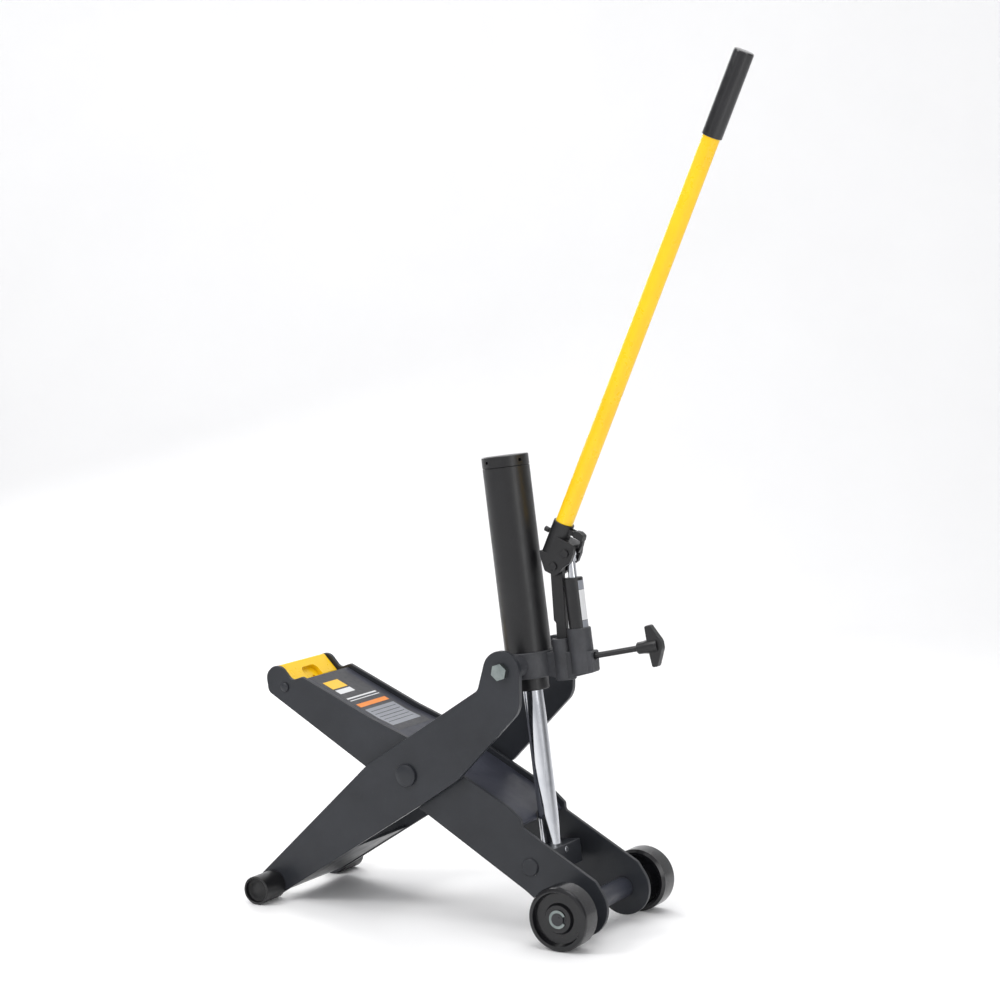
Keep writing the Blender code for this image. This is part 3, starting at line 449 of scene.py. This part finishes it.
# ------------------------------------------------------------ pump link, piston
link_height = math.hypot(FULCRUM[0] - LINK_FOOT[0], FULCRUM[1] - LINK_FOOT[1]) / MM
lean = math.atan2(FULCRUM[0] - LINK_FOOT[0], FULCRUM[1] - LINK_FOOT[1])
strap = (arc(0, 0, 8.5, 180, 360, 8) + [Vector((8.5, link_height - 16))] + arc(0, link_height, 11.0, -24, 180, 9)
         + [Vector((-12, link_height - 12)), Vector((-12, 40)), Vector((-8.5, 36))])
strap_mesh = prism(strap, -5, 5)
strap_mesh.transform(Matrix.Rotation(lean, 4, "Y"))
link = bevel(place("fulcrum_link", strap_mesh, link_body, "charcoal"), 0.7)
cut(link, tool("cut_link_low", rod(4.3, -9, 9, 16, "Y", chamfer=0), link_body))
cut(link, tool("cut_link_high", rod(4.3, -9, 9, 16, "Y", (FULCRUM[0] - LINK_FOOT[0], 0, FULCRUM[1] - LINK_FOOT[1]), 0), link_body))

piston = place("pump_piston", rod(6.9, 72, 159, 20, chamfer=0.5), piston_body, "chrome")
eye_outline = arc(0, PISTON_PIN_Z / MM, 10.0, -40, 220, 14) + [Vector((-6.6, 154)), Vector((6.6, 154))]
join(piston, tool("add_eye", prism(eye_outline, -6, 6), piston_body))
cut(piston, tool("cut_eye", rod(5.6, -10, 10, 20, "Y", (0, 0, PISTON_PIN_Z), 0), piston_body))

# ------------------------------------------------------------------ pump lever
TX = HANDLE_OFFSET
TUBE_X = HANDLE_OFFSET / MM
socket = place("handle_socket", rod(16.8, 12, 67, 24, "Z", (TX, 0, 0), 0.8), lever_body, "charcoal")
ears = rounded([(-18, 45.6, 0), (-18, 14, 0), (-32.4, 13.2, 1.5), (-26, 3.2, 4), (-11, -13.2, 5), (10.5, -12.6, 4), (15.4, 4.2, 8), (24.2, 17.0, 5),
                (24.2, 31, 5), (20.4, 45.6, 2)])
CATCH_PIN = (4.2 * MM, 58.5 * MM)
join(socket, bevel(tool("add_ears", prism(ears, -17.2, 17.2), lever_body), 0.8),
     tool("add_lug_near", box(-4, 7.4, -6.6, -3.8, 54.7, 62.3), lever_body),
     tool("add_lug_far", box(-4, 7.4, 3.8, 6.6, 54.7, 62.3), lever_body))
cut(socket,
    tool("cut_clevis_low", box(-40, 45, -9.4, 9.4, -30, 13), lever_body),
    tool("cut_clevis_high", box(-4, 45, -9.4, 9.4, 5, 40.5), lever_body),
    tool("cut_handle_bore", rod(14.35, 24, 80, 24, "Z", (TX, 0, 0), 0), lever_body),
    tool("cut_fulcrum", rod(4.3, -25, 25, 16, "Y", chamfer=0), lever_body))
unit_in_lever = Matrix.Rotation(-LEVER_LEAN, 3, "Y")
pin_in_lever = unit_in_lever @ Vector((PUMP_OFFSET - FULCRUM[0], 0, PISTON_PIN_Z - FULCRUM[1]))
cut(socket, tool("cut_piston_pin", rod(4.3, -25, 25, 16, "Y", pin_in_lever, 0), lever_body),
    tool("cut_screw", rod(3.3, TUBE_X - 20, TUBE_X - 10, 14, "X", (0, 0, 44 * MM), 0), lever_body),
    tool("cut_catch_hole", rod(1.9, -12, 12, 12, "Y", (CATCH_PIN[0], 0, CATCH_PIN[1]), 0), lever_body))
pin_head = [(0, -20.6), (5.4, -20.6), (6.3, -19.9), (6.3, -17.6), (4, -17.6), (4, 18.6), (3.4, 19.2), (0, 19.2)]
place("fulcrum_pin", lathe(pin_head, 20, "Y"), lever_body, "charcoal")
place("piston_pin", lathe(pin_head, 20, "Y", pin_in_lever), lever_body, "charcoal")
place("handle_tube", lathe([(12, 30), (HANDLE_RADIUS / MM, 30), (HANDLE_RADIUS / MM, HANDLE_TOP / MM - 4), (12, HANDLE_TOP / MM - 4)], 24, "Z", (TX, 0, 0)),
      lever_body, "yellow")
top = HANDLE_TOP / MM
place("handle_grip", lathe([(14.3, top - 135), (15.8, top - 135), (16.4, top - 134), (16.4, top - 3), (15.6, top - 0.8), (14, top), (0, top),
                            (0, top - 3.6), (14.3, top - 3.6)], 24, "Z", (TX, 0, 0)), lever_body, "grip")
screw = lathe([(0, TUBE_X - 27.0), (3.4, TUBE_X - 27.0), (4.2, TUBE_X - 26.2), (4.2, TUBE_X - 19.5), (3.0, TUBE_X - 18.5), (3.0, TUBE_X - 14.7), (0, TUBE_X - 14.7)],
              16, "X", (0, 0, 44 * MM))
thumb = body("thumb_screw_body", lever_body.location + Matrix.Rotation(LEVER_LEAN - RAM_LEAN, 3, "Y") @ Vector((TX, 0, 44 * MM)), LEVER_LEAN - RAM_LEAN)
screw.transform(Matrix.Translation((-TX, 0, -44 * MM)))
place("thumb_screw", screw, thumb, "charcoal")
catch_body = body("handle_catch_body", lever_body.location + Matrix.Rotation(LEVER_LEAN - RAM_LEAN, 3, "Y") @ Vector((CATCH_PIN[0], 0, CATCH_PIN[1])),
                  LEVER_LEAN - RAM_LEAN)


def from_catch_pin(outline):
    return [Vector((p[0] - CATCH_PIN[0] / MM, p[1] - CATCH_PIN[1] / MM)) for p in outline]


tongue = rounded([(1.3, 55.6, 2.7), (9.5, 55.0, 0), (21.8, 54.0, 0), (25.2, 28.5, 0.8), (27.4, 47.0, 3), (24.6, 62.5, 4), (17.0, 64.5, 2), (9.5, 62.0, 0), (1.3, 61.4, 2.7)],
                 math.radians(10))
catch = place("handle_catch", prism(from_catch_pin(tongue), -3.4, 3.4), catch_body, "charcoal")
jaw = rounded([(8.2, 53.6, 1.5), (21.5, 53.2, 1.5), (26.2, 51.6, 3), (24.4, 63.4, 4), (16.0, 65.6, 2), (8.2, 64.0, 1.5)], math.radians(10))
join(catch, bevel(tool("add_jaw", prism(from_catch_pin(jaw), -6.5, 6.5), catch_body), 0.8))
cut(catch, tool("cut_catch_pin", rod(1.9, -6, 6, 12, "Y", chamfer=0), catch_body))
place("catch_pin", rod(1.6, -7.4, 7.4, 12, "Y", (CATCH_PIN[0], 0, CATCH_PIN[1]), 0.3), lever_body, "steel")

# ------------------------------------------------------------------------- ram
top_of_ram = STROKE_LENGTH / MM + 46
place("ram_rod", lathe([(0, 10.4), (15, 10.4), (RAM_RADIUS / MM, 11.4), (RAM_RADIUS / MM, top_of_ram - 24), (10, top_of_ram - 24), (10, top_of_ram - 1),
                        (9, top_of_ram), (0, top_of_ram)], 24), ram, "chrome")
head_low, head_high = top_of_ram - 23.7, top_of_ram - 1.4
place("ram_piston", lathe([(10.3, head_low), (20.2, head_low), (20.2, head_low + 8), (17, head_low + 8), (17, head_low + 14), (20.2, head_low + 14),
                           (20.2, head_high), (10.3, head_high)], 24), ram, "steel")
place("ram_seal", lathe([(17.3, head_low + 8.3), (20.2, head_low + 8.3), (20.2, head_low + 13.7), (17.3, head_low + 13.7)], 24), ram, "rubber")
foot = bevel(place("ram_foot", box(-25, 25, -49, 49, -17, 20), ram, "charcoal"), 1.6)
cut(foot, tool("cut_foot_pin", rod(9.4, -60, 60, 24, "Y", chamfer=0), ram),
    tool("cut_foot_ram", rod(16.4, 9.9, 30, 32, chamfer=0), ram),
    tool("cut_foot_screw", rod(5.3, 16.6, 30, 16, "X", (0, 0, 12 * MM), 0), ram))
place("ram_set_screw", lathe([(0, 17.0), (5, 17.0), (5, 25.4), (4.2, 26.2), (2.6, 26.2), (2.6, 23.6), (0, 23.6)], 16, "X", (0, 0, 12 * MM)), ram, "steel")

# --------------------------------------------------------------- release valve
place("valve_rod", lathe([(0, -15), (3, -15), (4.7, -12), (4.7, 75.1), (0, 75.1)], 18, "X"), valve_body, "black")
knob = place("valve_knob", lathe([(0, 75.5), (8.2, 75.5), (9.4, 76.8), (9.8, 86), (11.8, 98), (11.8, 112), (0, 113)], 24, "X"), valve_body, "black")
wing = rounded([(96.0, -32.5, 3), (105.0, -32.5, 3.5), (118.5, -6, 14), (118.5, 6, 14), (105.0, 32.5, 3.5), (96.0, 32.5, 3), (95.0, 9, 5), (95.0, -9, 5)])
join(knob, bevel(tool("add_wing", prism(wing, -7.5, 7.5), valve_body), 2.0))

# ==================================================================== finishes
def linear(r, g, b):
    return tuple((c / 12.92 if c <= 0.04045 else ((c + 0.055) / 1.055) ** 2.4) for c in (r / 255, g / 255, b / 255))


class Finish:
    """A node material that grows from object-space patterns."""

    def __init__(self, name):
        self.mat = bpy.data.materials.new(name)
        self.mat.use_nodes = True
        self.nodes = self.mat.node_tree.nodes
        self.links = self.mat.node_tree.links
        self.shader = self.nodes["Principled BSDF"]
        coords = self.nodes.new("ShaderNodeTexCoord")
        self.where = coords.outputs["Object"]
        self.bumps = None

    def set(self, **values):
        for key, value in values.items():
            self.shader.inputs[key.replace("_", " ")].default_value = value
        return self

    def stretched(self, scale):
        node = self.nodes.new("ShaderNodeMapping")
        node.inputs["Scale"].default_value = scale
        self.links.new(self.where, node.inputs["Vector"])
        return node.outputs["Vector"]

    def noise(self, scale, detail=4.0, rough=0.55, stretch=None, distortion=0.0):
        node = self.nodes.new("ShaderNodeTexNoise")
        node.inputs["Scale"].default_value = scale
        node.inputs["Detail"].default_value = detail
        node.inputs["Roughness"].default_value = rough
        node.inputs["Distortion"].default_value = distortion
        self.links.new(self.stretched(stretch) if stretch else self.where, node.inputs["Vector"])
        return node.outputs["Fac"]

    def cells(self, scale, feature="F1"):
        node = self.nodes.new("ShaderNodeTexVoronoi")
        node.feature = feature
        node.inputs["Scale"].default_value = scale
        self.links.new(self.where, node.inputs["Vector"])
        return node.outputs["Distance"]

    def bands(self, scale, direction="Z", distortion=0.0, detail=2.0):
        node = self.nodes.new("ShaderNodeTexWave")
        node.wave_type = "BANDS"
        node.bands_direction = direction
        node.inputs["Scale"].default_value = scale
        node.inputs["Distortion"].default_value = distortion
        node.inputs["Detail"].default_value = detail
        self.links.new(self.where, node.inputs["Vector"])
        return node.outputs["Fac"]

    def spread(self, value, low, high, to_low=0.0, to_high=1.0):
        node = self.nodes.new("ShaderNodeMapRange")
        node.inputs["From Min"].default_value = low
        node.inputs["From Max"].default_value = high
        node.inputs["To Min"].default_value = to_low
        node.inputs["To Max"].default_value = to_high
        self.links.new(value, node.inputs["Value"])
        return node.outputs["Result"]

    def mix(self, factor, a, b):
        node = self.nodes.new("ShaderNodeMix")
        node.data_type = "RGBA"
        self.links.new(factor, node.inputs[0])
        for socket, value in ((node.inputs[6], a), (node.inputs[7], b)):
            if isinstance(value, tuple):
                socket.default_value = (*value, 1.0)
            else:
                self.links.new(value, socket)
        return node.outputs[2]

    def colour(self, value):
        self.links.new(value, self.shader.inputs["Base Color"])
        return self

    def rough(self, value):
        self.links.new(value, self.shader.inputs["Roughness"])
        return self

    def bump(self, value, height, strength=1.0):
        node = self.nodes.new("ShaderNodeBump")
        node.inputs["Distance"].default_value = height
        node.inputs["Strength"].default_value = strength
        self.links.new(value, node.inputs["Height"])
        if self.bumps:
            self.links.new(self.bumps, node.inputs["Normal"])
        self.bumps = node.outputs["Normal"]
        self.links.new(self.bumps, self.shader.inputs["Normal"])
        return self

    def lit(self, value):
        return value


def enamel(name, base, dark, light, gloss=(0.3, 0.42), peel=0.00012, coat=0.0, dust=(0.3, 0.3, 0.31), shine=0.5):
    """Sprayed paint: orange peel, faint cloudiness, a little dust in the pores."""
    f = Finish(name)
    cloudy = f.spread(f.noise(9, 5, 0.6), 0.3, 0.7)
    tone = f.mix(cloudy, dark, light)
    specks = f.spread(f.noise(900, 2, 0.5), 0.68, 0.8)
    faint = f.mix(f.spread(f.noise(60, 3, 0.6), 0.35, 0.75, 0.0, 0.35), tone, base)
    dusty = f.mix(f.spread(specks, 0, 1, 0, 0.12), faint, dust)
    f.colour(dusty)
    f.rough(f.spread(f.noise(45, 4, 0.6), 0.3, 0.7, *gloss))
    f.bump(f.noise(700, 3, 0.5), peel, 0.35)
    f.bump(f.noise(140, 2, 0.5), peel * 2, 0.25)
    f.set(Coat_Weight=coat, Coat_Roughness=0.12, Specular_IOR_Level=shine)
    return f.mat


def metal(name, base, dark, rough=(0.2, 0.34), stretch=(40, 40, 900), grain=0.00004, streaks=True):
    f = Finish(name)
    f.set(Metallic=1.0)
    f.colour(f.mix(f.spread(f.noise(30, 4, 0.6), 0.35, 0.7), base, dark))
    lines = f.noise(1, 3, 0.6, stretch) if streaks else f.noise(400, 3, 0.6)
    f.rough(f.spread(lines, 0.3, 0.7, *rough))
    f.bump(lines, grain, 0.5)
    return f.mat


FINISHES = {}
FINISHES["charcoal"] = enamel("charcoal_enamel", linear(40, 42, 46), linear(35, 37, 41), linear(46, 48, 53), (0.3, 0.42), 0.00010, shine=0.36)
# painted highlight: the web's copy of the charcoal enamel is made lighter and bluer to stand for light caught on its
# upward face
FINISHES["web"] = enamel("charcoal_enamel_web_painted_highlight", linear(52, 54, 64), linear(46, 48, 57), linear(59, 61, 72), (0.34, 0.48), 0.00010, shine=0.45)
FINISHES["axle"] = enamel("axle_enamel", linear(44, 46, 54), linear(38, 40, 47), linear(52, 54, 63), (0.28, 0.42), 0.00012, shine=0.45)
FINISHES["shaft_end"] = enamel("blued_steel", linear(34, 35, 39), linear(28, 29, 32), linear(42, 43, 47), (0.25, 0.4), 0.00006, shine=0.5)

cast = Finish("casting_enamel")
cast.colour(cast.mix(cast.spread(cast.noise(28, 5, 0.6), 0.3, 0.72), linear(44, 45, 48), linear(64, 65, 69)))
cast.rough(cast.spread(cast.noise(120, 4, 0.6), 0.3, 0.7, 0.4, 0.58))
cast.bump(cast.noise(420, 5, 0.65), 0.0005, 0.55)
cast.bump(cast.cells(260, "SMOOTH_F1"), 0.0004, 0.3)
FINISHES["casting"] = cast.mat

FINISHES["black"] = enamel("black_gloss_enamel", linear(17, 17, 19), linear(13, 13, 15), linear(22, 22, 24), (0.34, 0.46), 0.00008, 0.05)
FINISHES["yellow"] = enamel("yellow_gloss_enamel", linear(252, 202, 0), linear(248, 194, 0), linear(255, 210, 2), (0.24, 0.36), 0.0001, 0.2,
                            linear(240, 178, 0))
FINISHES["chrome"] = metal("hard_chrome_ground", linear(214, 216, 220), linear(196, 199, 205), (0.07, 0.15), (300, 300, 4), 0.00001)
FINISHES["zinc"] = metal("bright_zinc", linear(158, 166, 164), linear(126, 135, 134), (0.28, 0.46), None, 0.00006, False)
FINISHES["steel"] = metal("turned_steel", linear(168, 170, 174), linear(136, 138, 143), (0.26, 0.42), (30, 700, 30), 0.00004)
FINISHES["bronze"] = metal("sintered_bronze", linear(176, 136, 80), linear(140, 104, 60), (0.35, 0.5), None, 0.00008, False)

rub = Finish("moulded_rubber")
rub.colour(rub.mix(rub.spread(rub.noise(50, 4, 0.6), 0.3, 0.7), linear(22, 22, 23), linear(34, 34, 35)))
rub.rough(rub.spread(rub.noise(200, 3, 0.6), 0.3, 0.7, 0.5, 0.7))
rub.bump(rub.noise(900, 4, 0.6), 0.0002, 0.5)
FINISHES["rubber"] = rub.mat

wheel_mat = Finish("moulded_wheel")
wheel_mat.colour(wheel_mat.mix(wheel_mat.spread(wheel_mat.noise(35, 4, 0.6), 0.3, 0.7), linear(14, 14, 16), linear(22, 22, 25)))
wheel_mat.rough(wheel_mat.spread(wheel_mat.noise(90, 4, 0.6), 0.3, 0.75, 0.16, 0.3))
wheel_mat.bump(wheel_mat.noise(500, 3, 0.6), 0.00012, 0.4)
FINISHES["wheel"] = wheel_mat.mat

grip = Finish("dipped_vinyl")
grip.colour(grip.mix(grip.spread(grip.noise(24, 3, 0.5), 0.3, 0.7), linear(14, 14, 16), linear(24, 24, 27)))
grip.rough(grip.spread(grip.noise(60, 3, 0.5), 0.3, 0.7, 0.14, 0.26))
grip.bump(grip.noise(160, 2, 0.5), 0.00025, 0.4)
grip.set(Coat_Weight=0.4, Coat_Roughness=0.08)
FINISHES["grip"] = grip.mat

# =========================================================== pieces on the frame
LOOK = {"charcoal": "charcoal", "casting": "casting", "black": "black", "yellow": "yellow", "chrome": "chrome", "zinc": "zinc", "steel": "steel",
        "bronze": "bronze", "rubber": "rubber", "grip": "grip"}
BODY_OF = {n: b for b, ns in frame["record"]["behaviour"]["bodies"].items() for n in ns}
bpy.context.view_layer.update()
graph = bpy.context.evaluated_depsgraph_get()
made = {}
for node, (obj, look) in BUILT.items():
    mesh = bpy.data.meshes.new_from_object(obj.evaluated_get(graph))
    mesh.transform(obj.matrix_world)
    made[node] = (mesh, look)
for obj in helpers:
    bpy.data.objects.remove(obj, do_unlink=True)


def dress(piece, body_name, look, smooth=32.0):
    mesh = piece.data
    mesh.shade_smooth()
    mesh.set_sharp_from_angle(angle=math.radians(smooth))
    mesh.materials.clear()
    mesh.materials.append(FINISHES[look])
    weighted = piece.modifiers.new("faces", "WEIGHTED_NORMAL")
    weighted.keep_sharp = True
    weighted.weight = 90
    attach(piece, body_name)
    return piece


PIECES = {}
for node, (mesh, look) in made.items():
    mesh.name = node + "_look"
    piece = bpy.data.objects.new(node + "_look", mesh)
    bpy.context.scene.collection.objects.link(piece)
    if node.startswith("wheel_near") or node.startswith("wheel_far"):
        look = "wheel"
    # the inner web takes the lighter copy of the charcoal enamel, a painted highlight for its lit top face
    if node == "inner_web":
        look = "web"
    if node in ("axle_tube", "wheel_spacer_near", "wheel_spacer_far", "pivot_spacer_near", "pivot_spacer_far"):
        look = "axle"
    if node in ("axle_shaft", "wheel_bushing_near", "wheel_bushing_far"):
        look = "shaft_end"
    if node in ("handle_socket", "fulcrum_link", "fulcrum_pin", "piston_pin", "handle_catch", "catch_pin", "thumb_screw", "link_pin_lower"):
        look = "black"
    dress(piece, BODY_OF[node], look)
    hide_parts(node)
    PIECES[node] = piece

# ============================================================== small extra pieces
def extra(name, mesh, body_name, mat, at=None):
    """A piece with no CAD node of its own, in world coordinates once `at` is applied."""
    obj = bpy.data.objects.new(name, mesh)
    bpy.context.scene.collection.objects.link(obj)
    if at is not None:
        mesh.transform(at)
    mesh.shade_smooth()
    mesh.set_sharp_from_angle(angle=math.radians(32))
    mesh.materials.append(mat)
    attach(obj, body_name)
    return obj


def print_ink(name, colour, gloss=0.34):
    f = Finish(name)
    r, g, b = colour
    f.colour(f.mix(f.spread(f.noise(60, 3, 0.6), 0.3, 0.7), linear(r, g, b), linear(min(255, r + 8), min(255, g + 8), min(255, b + 8))))
    f.rough(f.spread(f.noise(120, 3, 0.6), 0.3, 0.7, gloss - 0.06, gloss + 0.08))
    f.bump(f.noise(500, 2, 0.5), 0.00004, 0.3)
    return f.mat


INK = {"dark": print_ink("ink_dark", (34, 35, 40)), "white": print_ink("ink_white", (212, 213, 214)), "yellow": print_ink("ink_yellow", (236, 184, 26)),
       "orange": print_ink("ink_orange", (226, 128, 32)), "grey": print_ink("ink_grey", (132, 135, 142))}
ARM_AT = Matrix.Translation(CROSS) @ Matrix.Rotation(ARM_LEAN, 4, "Y")
UNIT_AT = Matrix.Translation(TRUNNION) @ Matrix.Rotation(-RAM_LEAN, 4, "Y")


def web_top(u):
    """Height of the folded web's upper face, along the inner arm, in mm."""
    line = [(-250, 4.0), (-232, 5.8), (-110, 22.0), (-72, 30.6), (-34, 36.2), (80, 43.4)]
    for (u0, n0), (u1, n1) in zip(line, line[1:]):
        if u <= u1:
            return n0 + (n1 - n0) * (u - u0) / (u1 - u0)
    return line[-1][1]


def decal(name, u0, u1, y0, y1, ink, lift):
    """A thin printed film that follows the web, between two stations along the arm and two across it."""
    bm = bmesh.new()
    stations = sorted({u0, u1} | {u for u in (-232, -110, -72, -34) if u0 < u < u1})
    rows = []
    for u in stations:
        n = web_top(u) + lift
        rows.append([bm.verts.new(Vector((u, y, n + h)) * MM) for y, h in ((y0, 0.0), (y1, 0.0), (y1, -0.12), (y0, -0.12))])
    for a, b in zip(rows, rows[1:]):
        for k in range(4):
            bm.faces.new((a[k], a[(k + 1) % 4], b[(k + 1) % 4], b[k]))
    bm.faces.new(rows[0][::-1])
    bm.faces.new(rows[-1])
    bmesh.ops.recalc_face_normals(bm, faces=bm.faces)
    mesh = bpy.data.meshes.new(name)
    bm.to_mesh(mesh)
    bm.free()
    return extra(name, mesh, "inner_arm", INK[ink], ARM_AT)


def wrap(name, radius, first, last, z0, z1, ink, lift, body_name, at):
    """A thin film round an upright cylinder."""
    bm = bmesh.new()
    parts = max(4, round((last - first) / 4))
    rows = []
    for k in range(parts + 1):
        a = math.radians(first + (last - first) * k / parts)
        rows.append([bm.verts.new(Vector((r * math.cos(a), r * math.sin(a), z)) * MM) for r, z in
                     ((radius + lift, z0), (radius + lift, z1), (radius + lift - 0.1, z1), (radius + lift - 0.1, z0))])
    for a, b in zip(rows, rows[1:]):
        for k in range(4):
            bm.faces.new((a[k], a[(k + 1) % 4], b[(k + 1) % 4], b[k]))
    bm.faces.new(rows[0][::-1])
    bm.faces.new(rows[-1])
    bmesh.ops.recalc_face_normals(bm, faces=bm.faces)
    mesh = bpy.data.meshes.new(name)
    bm.to_mesh(mesh)
    bm.free()
    return extra(name, mesh, body_name, INK[ink], at)


# a plain colour panel, with no lettering, on the inner arm's web
decal("panel_dark", -248, -66, -50, 50, "dark", 0.22)
decal("panel_mark_yellow", -228, -206, -40, 4, "yellow", 0.34)
decal("panel_mark_white", -202, -190, -40, 4, "white", 0.34)
decal("panel_line_one", -176, -172.5, -44, 44, "white", 0.34)
decal("panel_line_two", -168.5, -166.5, -44, 44, "white", 0.34)
decal("panel_orange", -156, -146, -44, 44, "orange", 0.34)
decal("panel_grey", -138, -82, -44, 44, "grey", 0.34)
for k in range(5):
    decal(f"panel_rule_{k}", -130 + 9 * k, -128.6 + 9 * k, -38, 38, "dark", 0.42)

# a plain film round the pump barrel
BARREL_AT = UNIT_AT @ Matrix.Translation((PUMP_OFFSET, 0, 0))
wrap("barrel_film_top", 15.3, -36, 26, 110, 124, "grey", 0.2, "hydraulic_unit", BARREL_AT)
wrap("barrel_film_middle", 15.3, -36, 26, 62, 109.4, "white", 0.2, "hydraulic_unit", BARREL_AT)
wrap("barrel_film_foot", 15.3, -36, 26, 50, 61.4, "grey", 0.2, "hydraulic_unit", BARREL_AT)

# ======================================================================= stage
def stage_mesh(name, verts, faces, mat, smooth=False):
    mesh = bpy.data.meshes.new(name)
    mesh.from_pydata(verts, [], faces)
    if smooth:
        mesh.shade_smooth()
    obj = bpy.data.objects.new(name, mesh)
    bpy.context.scene.collection.objects.link(obj)
    mesh.materials.append(mat)
    return obj


pale = Finish("pale_floor")
pale.colour(pale.mix(pale.spread(pale.noise(2.5, 4, 0.6), 0.3, 0.7), (0.93, 0.93, 0.93), (0.95, 0.95, 0.95)))
pale.rough(pale.spread(pale.noise(12, 4, 0.6), 0.3, 0.7, 0.5, 0.62))

AZIMUTH, ELEVATION = math.radians(28.987), math.radians(6.229)
away = Vector((-math.sin(AZIMUTH), math.cos(AZIMUTH), 0.0))
across = Vector((math.cos(AZIMUTH), math.sin(AZIMUTH), 0.0))
profile = [(-9.0, -0.0005)] + [(2.6 + 1.6 * math.sin(math.radians(k * 7.5)), -0.0005 + 1.6 * (1 - math.cos(math.radians(k * 7.5)))) for k in range(13)] + [(4.2, 7.0)]
verts = [tuple(away * s + across * side * 9.0 + Vector((0, 0, z))) for s, z in profile for side in (-1, 1)]
faces = [(2 * k, 2 * k + 1, 2 * k + 3, 2 * k + 2) for k in range(len(profile) - 1)]
stage_mesh("floor_sweep", verts, faces, pale.mat, True)


def area(name, at, towards, size, power, colour=(1, 1, 1), size_y=None):
    light = bpy.data.lights.new(name, "AREA")
    light.shape = "RECTANGLE"
    light.size = size
    light.size_y = size_y or size
    light.energy = power
    light.color = colour
    obj = bpy.data.objects.new(name, light)
    bpy.context.scene.collection.objects.link(obj)
    obj.location = at
    obj.rotation_euler = (Vector(towards) - Vector(at)).to_track_quat("-Z", "Y").to_euler()
    return obj


area("key", (-1.9, -2.6, 3.0), (0, 0, 0.5), 1.5, 62)
area("fill", (3.0, -1.4, 1.6), (0, 0, 0.5), 1.0, 20, size_y=2.4)
area("top", (0.2, 0.4, 3.6), (0, 0, 0.3), 2.6, 52)
area("rim", (-2.4, 1.8, 2.0), (0, 0, 0.5), 0.8, 26, size_y=2.2)

world = bpy.data.worlds.new("studio")
world.use_nodes = True
tree = world.node_tree
sky = tree.nodes["Background"]
coords = tree.nodes.new("ShaderNodeTexCoord")
turned = tree.nodes.new("ShaderNodeVectorRotate")
turned.rotation_type = "Z_AXIS"
turned.inputs["Angle"].default_value = math.radians(90) - AZIMUTH + math.pi
around = tree.nodes.new("ShaderNodeTexGradient")
around.gradient_type = "RADIAL"
ramp = tree.nodes.new("ShaderNodeValToRGB")
stops = [(0.0, 0.9), (0.12, 1.0), (0.2, 0.3), (0.27, 0.34), (0.34, 1.1), (0.42, 1.0), (0.47, 0.4), (0.54, 0.45), (0.6, 1.1), (0.68, 1.0), (0.75, 0.35), (0.8, 0.4),
         (0.88, 1.0), (1.0, 0.9)]
while len(ramp.color_ramp.elements) < len(stops):
    ramp.color_ramp.elements.new(0.5)
for element, (at, level) in zip(ramp.color_ramp.elements, stops):
    element.position = at
for element, (at, level) in zip(ramp.color_ramp.elements, stops):
    element.color = (level, level, level * 1.02, 1.0)
seen = tree.nodes.new("ShaderNodeLightPath")
choose = tree.nodes.new("ShaderNodeMix")
choose.data_type = "RGBA"
choose.inputs[7].default_value = (1.0, 1.0, 1.0, 1.0)
tree.links.new(coords.outputs["Generated"], turned.inputs["Vector"])
tree.links.new(turned.outputs["Vector"], around.inputs["Vector"])
tree.links.new(around.outputs["Fac"], ramp.inputs["Fac"])
tree.links.new(seen.outputs["Is Camera Ray"], choose.inputs[0])
tree.links.new(ramp.outputs["Color"], choose.inputs[6])
tree.links.new(choose.outputs[2], sky.inputs["Color"])
sky.inputs["Strength"].default_value = 0.85
bpy.context.scene.world = world
bpy.context.scene.view_settings.view_transform = "Standard"

cam = bpy.data.cameras.new("camera")
cam.sensor_width = 36.0
cam.lens = 96.084
cam.clip_end = 50
camera = bpy.data.objects.new("camera", cam)
bpy.context.scene.collection.objects.link(camera)
back = Vector((math.sin(AZIMUTH) * math.cos(ELEVATION), -math.cos(AZIMUTH) * math.cos(ELEVATION), math.sin(ELEVATION)))
camera.location = Vector((AXLE_X - 0.18585, 0.0, 0.66581)) + back * 4.20706
camera.rotation_euler = (-back).to_track_quat("-Z", "Y").to_euler()
bpy.context.scene.camera = camera
